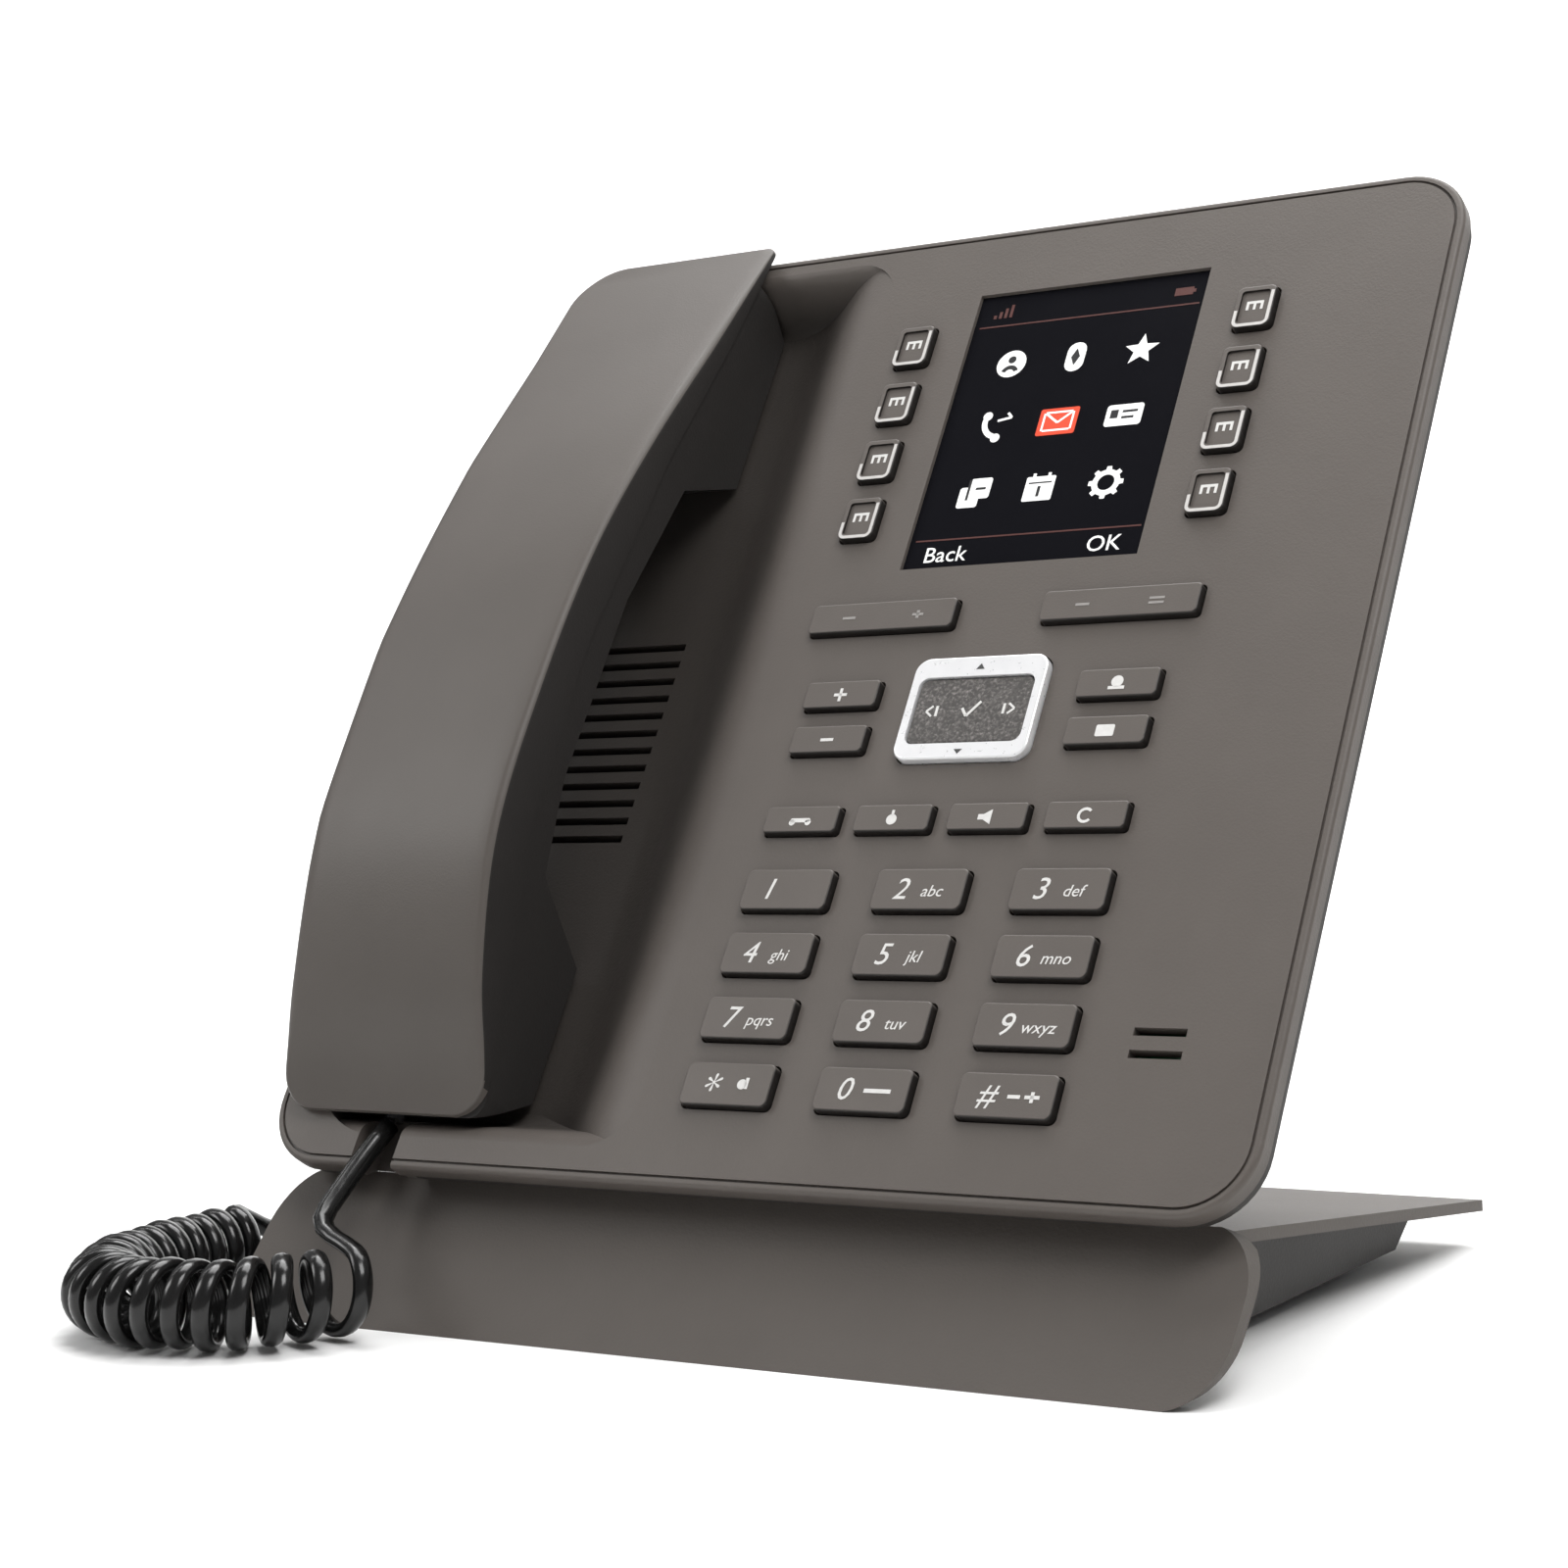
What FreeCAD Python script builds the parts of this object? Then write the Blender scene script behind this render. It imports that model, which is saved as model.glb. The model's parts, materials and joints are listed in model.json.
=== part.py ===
# Desk telephone: a tilted key slab with a lift-off handset, on a wedge-shaped desk stand.
# Millimetres. The row frame has +Z up, its origin on the desk under the slab's middle.
# The face frame is (x, s, h): x across, s up the face from its bottom edge, h out of the face.
import FreeCAD, Part
import math
import os
from FreeCAD import Placement, Rotation, Vector

# slab
face_tilt = 56.5
face_foot_y = -53.5
face_foot_z = 25.5
slab_width = 193.0
slab_length = 195.3
slab_corner = 12.5
cover_side = 3.2
wall = 2.2
housing_straight = 5.5
housing_depth = 22.0
housing_inset = 0.6
back_inset = 14.0
back_inset_left = 2.5
edge_round = 0.8
groove_inset = 1.3
groove_width = 0.5

# fits
seat = 0.02
key_gap = 0.3
shell_gap = 0.3
fit_gap = 0.2

# controls: all of them are placed from one axis and from the display's centre
axis_x = 26.65
display_s = 149.6
display_width = 47.0
display_length = 61.0
display_recess = 0.8
lens_lap = 0.9
lcd_border = 1.5
lcd_length = 68.0
lcd_thick = 3.4
key_proud = 1.4
flange_lap = 0.8
flange_thick = 0.8
rocker_drop = 0.5
rim_width = 1.0
rim_depth = 0.5
mat_top = 4.7
mat_thick = 1.2
board_top = 6.2
board_thick = 1.6

digit_size = (17.4, 7.7)
digit_pitch = (26.15, 12.06)
digit_top_s = 54.0
line_size = (7.4, 8.8)
line_offset = 34.6
line_pitch = 12.9
soft_size = (29.6, 6.0)
soft_offset = 23.4
soft_s = 108.6
side_size = (15.0, 5.4)
side_offset = 27.0
side_s = (92.6, 83.5)
function_size = (14.8, 5.1)
function_pitch = 18.27
function_s = 67.6
nav_size = (26.0, 20.2)
nav_s = 89.0
nav_opening = (22.6, 13.2)
nav_opening_drop = 0.5
microphone_slot = (9.0, 1.4)
microphone_offset = 49.1
microphone_s = (30.0, 26.2)

# handset well and grille
well_side_gap = 1.75
well_left = -slab_width / 2 + 2 * wall + well_side_gap
well_floor_right = -46.0
well_right = -17.0
well_depth = 11.0
well_floor_s = (16.0, 184.0)
well_s = (6.0, 191.5)
well_corner = 18.0
well_blend = 10.0
slit_count = 12
slit_pitch = 3.76
slit_size = (26.0, 1.5)
slit_right = -48.35
slit_top_s = 112.6
notch_width = 9.5
notch_depth = 7.5

# handset
handset_x = (-94.35, -47.35)
crown = [(0.0, 0.8), (1.3, 0.5), (4.6, 0.33), (14.0, 0.19), (28.0, 0.08), (handset_x[1] - handset_x[0], 0.0)]
hollow_reach = 8.0
handset_wall = 2.2
cup_x = (-89.3, -47.8)
cup_corner = 16.0
handset_corners = (7.0, 7.0, 2.0, 10.0)
crest = [(9.6, 1.9), (16.0, 5.2), (30.0, 14.0), (53.6, 22.5), (82.0, 24.3), (112.0, 23.0),
         (139.6, 17.8), (172.6, 8.8), (197.6, 1.9)]
parting = [(197.6, 0.9), (170.0, 5.0), (140.0, 11.0), (96.0, 15.5), (60.0, 14.0), (30.0, 6.0), (9.6, 0.9)]
cup_gap = 1.1
cup_low = cup_gap - well_depth
underside = [(9.6, 0.9), (17.5, cup_low), (44.0, cup_low), (54.0, 6.0), (72.0, 9.6), (110.0, 9.2),
             (138.0, 4.0), (148.0, cup_low), (183.0, cup_low), (190.0, 0.9)]
hook_travel = 3.0
hook_radius = 3.0
hook_at = (-62.0, 165.0)
hook_top = shell_gap - cup_low

# stand
apron_half = 95.5
apron_foot = (-65.4, 0.0)
apron_top = (-44.6, 22.9)
apron_thick = 3.0
apron_corner = 9.0
apron_shoulder = 9.5
plate_half = 85.65
plate_front = (-44.6, 21.6)
plate_back = (65.4, 8.0)
plate_thick = 2.0
base_half = 77.65
base_bottom = 2.4
base_front_y = -57.0
base_rear = ((44.5, 2.4), (52.4, 7.4))
base_wall = 2.0
bracket_half = 30.0
bracket_s = (20.0, 95.0)
bracket_y = (-20.0, 40.0)
bracket_wall = 2.5
foot_radius = 6.5
foot_sink = 0.8
foot_at = [(-64.0, -42.0), (64.0, -42.0), (-64.0, 34.0), (64.0, 34.0)]

# fasteners
boss_radius = 3.2
screw_radius = 1.1
screw_length = 10.0
head_radius = 2.4
head_height = 1.4
housing_screw_at = [(72.0, 22.0), (72.0, 173.0), (-22.0, 22.0), (-22.0, 173.0)]
stand_screw_at = [(-50.0, -30.0), (50.0, -30.0), (-50.0, 20.0), (50.0, 20.0)]

# sockets and cord
network_size = (16.0, 13.5)
network_hole = (11.8, 7.2)
network_at = [(46.0, 40.0), (66.0, 40.0)]
power_size = (10.0, 10.0)
power_hole = 3.1
power_at = (46.0, 60.0)
plug_size = (7.6, 6.4)
plug_length = 12.8
plug_gap = 0.2
stub_radius = 1.7
stub_length = 3.4
cord_radius = 1.3
coil_radius = 8.0
jack_x = -70.5
jack_h = -2.3
plug_nose_s = 13.2
socket_y = -8.0
socket_z = 9.0

sine = math.sin(math.radians(face_tilt))
cosine = math.cos(math.radians(face_tilt))


def row_point(x, s, h):
    return Vector(x, face_foot_y + cosine * s - sine * h, face_foot_z + sine * s + cosine * h)


def to_row(shape):
    foot = row_point(0, 0, 0)
    moved = shape.copy()
    moved.Placement = Placement(foot, Rotation(Vector(1, 0, 0), face_tilt))
    return moved


# --- outlines and solids -------------------------------------------------------------------

def box(x, s, h):
    return Part.makeBox(x[1] - x[0], s[1] - s[0], h[1] - h[0], Vector(x[0], s[0], h[0]))


def centred(at, size, h):
    half_x = size[0] / 2
    half_s = size[1] / 2
    return box((at[0] - half_x, at[0] + half_x), (at[1] - half_s, at[1] + half_s), h)


def rod(at, radius, h):
    return Part.makeCylinder(radius, h[1] - h[0], Vector(at[0], at[1], h[0]))


def corner_arc(centre, radius, start, h):
    turn = math.radians(start)
    points = []
    for step in range(3):
        angle = turn + step * math.pi / 4
        points.append(Vector(centre[0] + radius * math.cos(angle), centre[1] + radius * math.sin(angle), h))
    return Part.Arc(*points).toShape()


def rounded_wire(x, s, radii, h):
    # radii run anticlockwise from the lower left corner
    corners = [(x[0], s[0], 1, 1, 180), (x[1], s[0], -1, 1, 270), (x[1], s[1], -1, -1, 0), (x[0], s[1], 1, -1, 90)]
    arcs = []
    for (cx, cs, dx, ds, start), radius in zip(corners, radii):
        arcs.append(corner_arc((cx + dx * radius, cs + ds * radius), radius, start, h))
    edges = []
    for index, arc in enumerate(arcs):
        following = arcs[(index + 1) % 4]
        edges.append(arc)
        edges.append(Part.makeLine(arc.lastVertex().Point, following.firstVertex().Point))
    return Part.Wire(edges)


def rounded_block(x, s, radii, h):
    face = Part.Face(rounded_wire(x, s, radii, h[0]))
    return face.extrude(Vector(0, 0, h[1] - h[0]))


def pad_block(at, size, radius, h):
    half_x = size[0] / 2
    half_s = size[1] / 2
    return rounded_block((at[0] - half_x, at[0] + half_x), (at[1] - half_s, at[1] + half_s), [radius] * 4, h)


def across_x(points, x):
    corners = [Vector(x[0], s, h) for s, h in points]
    return Part.Face(Part.makePolygon(corners + corners[:1])).extrude(Vector(x[1] - x[0], 0, 0))


def round_top(solid, h, radius):
    edges = []
    for edge in solid.Edges:
        box_of_edge = edge.BoundBox
        if box_of_edge.ZMin > h - 1e-4 and box_of_edge.ZMax < h + 1e-4:
            edges.append(edge)
    return solid.makeFillet(radius, edges)


def cut_all(solid, tools):
    return solid.cut(Part.makeCompound(tools)) if tools else solid


# --- slab ------------------------------------------------------------------------------------

slab_x = (-slab_width / 2, slab_width / 2)


def inset_outline(inset, left_inset, h, wall_inside=0.0):
    x = (slab_x[0] + left_inset + wall_inside, slab_x[1] - inset - wall_inside)
    s = (inset + wall_inside, slab_length - inset - wall_inside)
    radius = max(slab_corner - inset / 2 - wall_inside, 2.0)
    return rounded_wire(x, s, [radius] * 4, h)


def housing_envelope(wall_inside, back):
    middle = housing_straight
    rings = [inset_outline(housing_inset, housing_inset, -cover_side - seat, wall_inside),
             inset_outline(housing_inset, housing_inset, -middle, wall_inside),
             inset_outline(back_inset, back_inset_left, -back, wall_inside)]
    return Part.makeLoft(rings, True, True)


def s_curve(start, end):
    # a smooth step, level at both ends
    reach = (end[0] - start[0]) / 2
    curve = Part.BezierCurve()
    curve.setPoles([Vector(start[0], 0, start[1]), Vector(start[0] + reach, 0, start[1]),
                    Vector(end[0] - reach, 0, end[1]), Vector(end[0], 0, end[1])])
    return curve.toShape()


def along(points):
    corners = [Vector(a, 0, h) for a, h in points]
    return Part.makePolygon(corners).Edges


def well(grow, top):
    # the hollow under the handset: a floor, a smooth slope on the right and at both ends
    floor = -well_depth - grow
    brim = -grow
    left = well_left - grow
    cross = along([(well_right + grow, brim), (well_right + grow, top), (left, top), (left, floor),
                   (well_floor_right, floor)])
    cross.append(s_curve((well_floor_right, floor), (well_right + grow, brim)))
    lengthwise = along([(well_s[1] + grow, brim), (well_s[1] + grow, top), (well_s[0] - grow, top),
                        (well_s[0] - grow, brim)])
    lengthwise.append(s_curve((well_s[0] - grow, brim), (well_floor_s[0], floor)))
    lengthwise += along([(well_floor_s[0], floor), (well_floor_s[1], floor)])
    lengthwise.append(s_curve((well_floor_s[1], floor), (well_s[1] + grow, brim)))
    cross_face = Part.Face(Part.Wire(Part.sortEdges(cross)[0]))
    cross_solid = cross_face.extrude(Vector(0, slab_length, 0))
    side_face = Part.Face(Part.Wire(Part.sortEdges(lengthwise)[0]))
    side_face.rotate(Vector(0, 0, 0), Vector(0, 0, 1), 90)
    side_face.translate(Vector(slab_x[0], 0, 0))
    side_solid = side_face.extrude(Vector(slab_width, 0, 0))
    x = (left, well_right + grow)
    s = (well_s[0] - grow, well_s[1] + grow)
    plan = rounded_block(x, s, [well_corner + grow, well_blend, well_blend, well_corner + grow], (floor - 1.0, top + 1.0))
    return cross_solid.common(side_solid).common(plan)


def notch_box(grow, top):
    half = notch_width / 2 + grow
    return box((jack_x - half, jack_x + half), (-1.0, well_floor_s[0] + 1.0 + grow), (-notch_depth - grow, top))


def key_table():
    keys = {}
    names = [["key_1", "key_2", "key_3"], ["key_4", "key_5", "key_6"], ["key_7", "key_8", "key_9"],
             ["key_star", "key_0", "key_hash"]]
    for row, row_names in enumerate(names):
        for column, name in enumerate(row_names):
            at = (axis_x + (column - 1) * digit_pitch[0], digit_top_s - row * digit_pitch[1])
            keys[name] = (at, digit_size)
    for side, sign in (("left", -1), ("right", 1)):
        for row in range(4):
            at = (axis_x + sign * line_offset, display_s + (1.5 - row) * line_pitch)
            keys["line_key_%s_%d" % (side, row + 1)] = (at, line_size)
        keys["soft_key_" + side] = ((axis_x + sign * soft_offset, soft_s), soft_size)
    side_names = {"volume_up_key": (-1, 0), "volume_down_key": (-1, 1), "message_key": (1, 0), "headset_key": (1, 1)}
    for name, (sign, row) in side_names.items():
        keys[name] = ((axis_x + sign * side_offset, side_s[row]), side_size)
    for column in range(4):
        at = (axis_x + (column - 1.5) * function_pitch, function_s)
        keys["function_key_%d" % (column + 1)] = (at, function_size)
    return keys


def grown(size, by):
    return (size[0] + 2 * by, size[1] + 2 * by)


def key_corner(size):
    return min(size) * 0.16


def make_key(name, at, size):
    drop = rocker_drop if name.startswith("soft_key") else 0.0
    flange_top = -wall - key_gap - drop
    cap = round_top(pad_block(at, size, key_corner(size), (flange_top - flange_thick, key_proud)), key_proud, 0.35)
    flange = pad_block(at, grown(size, flange_lap), key_corner(size), (flange_top - flange_thick, flange_top))
    key = cap.fuse(flange)
    if name.startswith("line_key"):
        pocket = pad_block(at, grown(size, -rim_width), 0.6, (key_proud - rim_depth, key_proud + 1))
        key = key.cut(pocket)
    return key.removeSplitter()


def display_size():
    return (display_width, display_length)


def make_front_cover(keys):
    outer = rounded_block(slab_x, (0.0, slab_length), [slab_corner] * 4, (-cover_side, 0.0))
    outer = round_top(outer, 0.0, edge_round)
    inner_x = (slab_x[0] + wall, slab_x[1] - wall)
    inner_s = (wall, slab_length - wall)
    hollow = rounded_block(inner_x, inner_s, [slab_corner - wall] * 4, (-cover_side - 1, -wall))
    cover = outer.cut(hollow)
    ring_x = (slab_x[0] + groove_inset, slab_x[1] - groove_inset)
    ring_s = (groove_inset, slab_length - groove_inset)
    ring = rounded_block(ring_x, ring_s, [slab_corner - groove_inset] * 4, (-groove_width, 1.0))
    step = groove_inset + groove_width
    core_x = (slab_x[0] + step, slab_x[1] - step)
    core = rounded_block(core_x, (step, slab_length - step), [slab_corner - step] * 4, (-groove_width - 1, 2.0))
    cover = cover.cut(ring.cut(core))
    envelope = housing_envelope(0.0, housing_depth)
    lining = notch_box(wall, -wall / 2).common(envelope.fuse(outer))
    cover = cover.fuse([well(wall, -wall / 2), lining])
    for at in housing_screw_at:
        cover = cover.fuse(rod(at, boss_radius, (-housing_depth + wall + seat, -wall / 2)))
    tools = [well(0.0, 1.0), notch_box(0.0, 1.0)]
    for at in housing_screw_at:
        depth = -housing_depth + wall
        tools.append(rod(at, screw_radius + fit_gap / 2, (depth - 1, depth + screw_length + 1)))
    for name, (at, size) in keys.items():
        tools.append(pad_block(at, grown(size, key_gap), key_corner(size), (-wall - 1, 1.0)))
    nav_at = (axis_x, nav_s)
    tools.append(pad_block(nav_at, grown(nav_size, key_gap), 3.0, (-wall - 1, 1.0)))
    display_at = (axis_x, display_s)
    tools.append(centred(display_at, display_size(), (-wall - 1, 1.0)))
    tools.append(centred(display_at, grown(display_size(), lens_lap), (-wall - 1, -display_recess)))
    for s in microphone_s:
        tools.append(centred((axis_x + microphone_offset, s), microphone_slot, (-wall - 1, 1.0)))
    for index in range(slit_count):
        at = (slit_right - slit_size[0] / 2, slit_top_s - index * slit_pitch)
        tools.append(centred(at, slit_size, (-well_depth - wall - 1, -well_depth + 1)))
    tools.append(rod(hook_at, hook_radius + key_gap, (-well_depth - wall - 1, -well_depth + 1)))
    return cut_all(cover, tools)


def make_rear_housing():
    shell = housing_envelope(0.0, housing_depth)
    hollow_rings = [inset_outline(housing_inset, housing_inset, -cover_side + 1, wall),
                    inset_outline(housing_inset, housing_inset, -housing_straight, wall),
                    inset_outline(back_inset, back_inset_left, -housing_depth + wall, wall)]
    shell = shell.cut(Part.makeLoft(hollow_rings, True, True))
    tools = [notch_box(wall + shell_gap, 1.0)]
    floor = (-housing_depth - 1, -housing_depth + wall + 1)
    for at in network_at:
        tools.append(centred(at, grown(network_size, fit_gap), floor))
    tools.append(centred(power_at, grown(power_size, fit_gap), floor))
    for at in housing_screw_at:
        tools.append(rod(at, screw_radius + fit_gap, floor))
        tools.append(rod(at, head_radius + fit_gap, (-housing_depth - 1, -housing_depth + head_height)))
    return cut_all(shell, tools)


def make_housing_screws():
    screws = []
    for at in housing_screw_at:
        base = -housing_depth + head_height
        shank = rod(at, screw_radius, (base, base + screw_length))
        head = rod(at, head_radius, (base - head_height + seat, base))
        screws.append(shank.fuse(head).removeSplitter())
    return Part.makeCompound(screws)


def make_display_window():
    at = (axis_x, display_s)
    return centred(at, grown(display_size(), lens_lap - fit_gap / 2), (-wall, -display_recess - seat))


def lcd_box(grow):
    size = (display_width + 2 * lcd_border, lcd_length)
    return centred((axis_x, display_s), grown(size, grow), (-wall - seat - lcd_thick, -wall - seat))


def make_keypad_mat(keys):
    low_x = min(at[0] - size[0] / 2 for at, size in keys.values()) - flange_lap
    high_x = max(at[0] + size[0] / 2 for at, size in keys.values()) + flange_lap
    low_s = min(at[1] - size[1] / 2 for at, size in keys.values()) - flange_lap
    high_s = max(at[1] + size[1] / 2 for at, size in keys.values()) + flange_lap
    mat = box((low_x, high_x), (low_s, high_s), (-mat_top - mat_thick, -mat_top))
    window = (display_width + 2 * lcd_border, lcd_length)
    tools = [centred((axis_x, display_s), grown(window, 2 * fit_gap), (-mat_top - 5, 0.0)),
             centred((axis_x, nav_s), grown(nav_opening, -1.0), (-mat_top - 5, 0.0))]
    return cut_all(mat, tools)


def make_main_board():
    low_x = axis_x - line_offset - line_size[0] / 2 - 1.0
    board = box((low_x, slab_x[1] - 8.5), (14.0, slab_length - 13.0), (-board_top - board_thick, -board_top))
    tools = []
    for at in housing_screw_at:
        tools.append(rod(at, boss_radius + shell_gap, (-board_top - 3, 0.0)))
    return cut_all(board, tools)


def make_loudspeaker():
    at = (slit_right - slit_size[0] / 2 - 1.5, slit_top_s - (slit_count - 1) * slit_pitch / 2)
    top = -well_depth - wall - seat
    return rod(at, 17.0, (top - 2.0, top)).fuse(rod(at, 12.0, (top - 5.0, top - 1.0))).removeSplitter()


# --- navigation key ----------------------------------------------------------------------------



def make_nav_ring():
    at = (axis_x, nav_s)
    flange_top = -wall - key_gap - rocker_drop
    flange_low = flange_top - flange_thick
    ring = round_top(pad_block(at, nav_size, 2.8, (flange_low, key_proud)), key_proud, 0.4)
    ring = ring.fuse(pad_block(at, grown(nav_size, flange_lap), 3.0, (flange_low, flange_top)))
    opening_at = (axis_x, nav_s - nav_opening_drop)
    return ring.cut(pad_block(opening_at, nav_opening, 1.8, (flange_low - 1, key_proud + 1))).removeSplitter()


def make_nav_pad():
    at = (axis_x, nav_s - nav_opening_drop)
    low = -wall - key_gap - rocker_drop - flange_thick + 0.3
    top = key_proud - 0.3
    pad = round_top(pad_block(at, grown(nav_opening, -key_gap), 1.5, (low, top)), top, 0.3)
    return pad.fuse(centred(at, (2.0, 8.0), (low - 1.1, low + 1))).removeSplitter()


def make_nav_carrier():
    at = (axis_x, nav_s - nav_opening_drop)
    top = -wall - key_gap - rocker_drop - flange_thick - 0.2
    carrier = centred(at, (16.0, 10.0), (top - 1.2, top))
    return carrier.cut(centred(at, (2.0 + 2 * key_gap, 8.0 + 2 * key_gap), (top - 3, top + 1)))


def make_hook_plunger():
    low = -well_depth - wall - hook_travel - 1.3
    stem = round_top(rod(hook_at, hook_radius, (low, -hook_top)), -hook_top, 0.6)
    return stem.fuse(rod(hook_at, hook_radius + 1.4, (low, low + 1.0))).removeSplitter()


# --- handset -----------------------------------------------------------------------------------

def profile_wire(x, crest_points, lower_points):
    curve = Part.BSplineCurve()
    curve.interpolate([Vector(x, s, h) for s, h in crest_points])
    lower = [Vector(x, s, h) for s, h in lower_points]
    corners = [Vector(x, *crest_points[-1])] + lower + [Vector(x, *crest_points[0])]
    return Part.Wire([curve.toShape()] + Part.makePolygon(corners).Edges)


def lowered(points, by):
    return [(s, h - by) for s, h in points]


def parting_height(s):
    for (s1, h1), (s0, h0) in zip(parting, parting[1:]):
        if s >= s0:
            return h0 + (h1 - h0) * (s - s0) / (s1 - s0)
    return parting[-1][1]


def crowned(share):
    # the crest, brought down to the parting line by a share of its height over it
    return [(s, h - share * (h - parting_height(s))) for s, h in crest]


def handset_plan(inset, h):
    x = (handset_x[0] + inset, handset_x[1] - inset)
    s = (crest[0][0] + inset, crest[-1][0] - inset)
    radii = [max(radius - inset, 0.5) for radius in handset_corners]
    return rounded_block(x, s, radii, h)


def crown_loft(down, lower_points):
    # the back of the handset falls from the crease on the right to a soft shoulder on the left
    wires = []
    for offset, share in crown:
        top = lowered(crowned(share), down)
        wires.append(profile_wire(handset_x[0] + offset, top, lower_points))
    return Part.makeLoft(wires, True, True)


def make_outer_shell():
    body = crown_loft(0.0, parting).common(handset_plan(0.0, (-20.0, 40.0)))
    low = lowered(parting, hollow_reach)
    hollow = crown_loft(handset_wall, low).common(handset_plan(handset_wall, (-20.0, 40.0)))
    return body.cut(hollow)


def cup_plan(inset, h):
    x = (cup_x[0] + inset, cup_x[1] - inset)
    s = (underside[0][0] + inset, underside[-1][0] - inset)
    return rounded_block(x, s, [cup_corner - inset, 4.0, 4.0, cup_corner - inset], h)


def make_inner_shell():
    outline = lowered(parting, seat) + lowered(underside, seat)[1:]
    body = across_x(outline, cup_x).common(cup_plan(0.0, (-20.0, 40.0)))
    raised = [(s, h + handset_wall) for s, h in underside[1:-1]]
    raised[0] = (raised[0][0] + handset_wall, raised[0][1])
    raised[2] = (raised[2][0] - handset_wall, raised[2][1])
    raised[6] = (raised[6][0] + handset_wall, raised[6][1])
    raised[-1] = (raised[-1][0] - handset_wall, raised[-1][1])
    top = [(raised[-1][0] + 6.0, 30.0), (raised[0][0] - 5.0, 30.0)]
    hollow = across_x(raised + top, (cup_x[0] + handset_wall, cup_x[1] - handset_wall))
    body = body.cut(hollow)
    tools = [plug_box(plug_gap * 1.5, (0.0, raised[0][0] + 2.0))]
    middle_x = (cup_x[0] + cup_x[1]) / 2
    ear_s = (underside[-2][0] + underside[-3][0]) / 2
    for index in range(6):
        angle = index * math.pi / 3
        at = (middle_x + 6.0 * math.cos(angle), ear_s + 6.0 * math.sin(angle))
        tools.append(rod(at, 1.0, (-14.0, -5.0)))
    tools.append(rod((middle_x + 9.0, 36.0), 1.0, (-14.0, -5.0)))
    return cut_all(body, tools)


def plug_box(grow, s):
    half_x = plug_size[0] / 2 + grow
    half_h = plug_size[1] / 2 + grow
    return box((jack_x - half_x, jack_x + half_x), s, (jack_h - half_h, jack_h + half_h))


def make_receiver():
    middle_x = (cup_x[0] + cup_x[1]) / 2
    ear_s = (underside[-2][0] + underside[-3][0]) / 2
    low = underside[-2][1] + handset_wall + seat
    return rod((middle_x, ear_s), 14.0, (low, low + 3.5)).fuse(rod((middle_x, ear_s), 9.0, (low, low + 6.0)))


def make_microphone():
    middle_x = (cup_x[0] + cup_x[1]) / 2
    low = underside[2][1] + handset_wall + seat
    return rod((middle_x + 9.0, 36.0), 4.5, (low, low + 4.0))


def make_handset_jack():
    s = (underside[1][0] + handset_wall + 1.0, plug_nose_s + plug_length + 2.2)
    block = plug_box(plug_gap + 1.2, s)
    low = underside[2][1] + handset_wall + seat
    block = block.common(box((-200, 200), (0, 200), (low, 100)))
    return block.cut(plug_box(plug_gap, (0.0, plug_nose_s + plug_length + 0.3)))


def make_handset_plug():
    body = plug_box(0.0, (plug_nose_s, plug_nose_s + plug_length))
    stub = Part.makeCylinder(stub_radius, stub_length + 1, Vector(jack_x, plug_nose_s - stub_length, jack_h),
                             Vector(0, 1, 0))
    return body.fuse(stub).removeSplitter()


# --- stand, in the row frame -------------------------------------------------------------------

def plate_z(y):
    share = (y - plate_front[0]) / (plate_back[0] - plate_front[0])
    return plate_front[1] + share * (plate_back[1] - plate_front[1])


def span_x(points, half):
    corners = [Vector(-half, y, z) for y, z in points]
    return Part.Face(Part.makePolygon(corners + corners[:1])).extrude(Vector(2 * half, 0, 0))


def upright(at, radius, z):
    return Part.makeCylinder(radius, z[1] - z[0], Vector(at[0], at[1], z[0]))


def apron_slope():
    return (apron_top[1] - apron_foot[1]) / (apron_top[0] - apron_foot[0])


def apron_run():
    # how far back the apron's inner face lies, measured level
    return apron_thick / math.sin(math.atan(apron_slope()))


def inner_apron_y(z):
    return apron_foot[0] + (z - apron_foot[1]) / apron_slope() + apron_run()


def make_stand_shell():
    inner_foot = (inner_apron_y(0.0), 0.0)
    inner_top_z = plate_front[1] - plate_thick
    apron = span_x([apron_foot, apron_top, (apron_top[0] + 1.2, plate_z(apron_top[0] + 1.2)),
                    (inner_apron_y(inner_top_z), inner_top_z), inner_foot], apron_half)
    # the corners of the apron are rounded as seen from the front
    plan = rounded_wire((-apron_half, apron_half), (0.0, apron_top[1] + 0.3),
                        [apron_corner, apron_corner, apron_shoulder, apron_shoulder], 0.0)
    mask = Part.Face(plan).extrude(Vector(0, 0, 120.0))
    mask.rotate(Vector(0, 0, 0), Vector(1, 0, 0), 90)
    apron = apron.common(mask)
    under = [(plate_back[0], plate_back[1] - plate_thick), (plate_front[0], plate_front[1] - plate_thick)]
    plate = span_x([plate_front, plate_back] + under, plate_half)
    shell = apron.fuse(plate)
    for at in stand_screw_at:
        shell = shell.fuse(upright(at, boss_radius, (base_bottom + base_wall + seat, plate_z(at[1]) - plate_thick / 2)))
    pilots = []
    for at in stand_screw_at:
        pilots.append(upright(at, screw_radius + fit_gap / 2, (base_bottom, plate_z(at[1]) - plate_thick - 1)))
    return cut_all(shell, pilots).removeSplitter()


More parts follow.
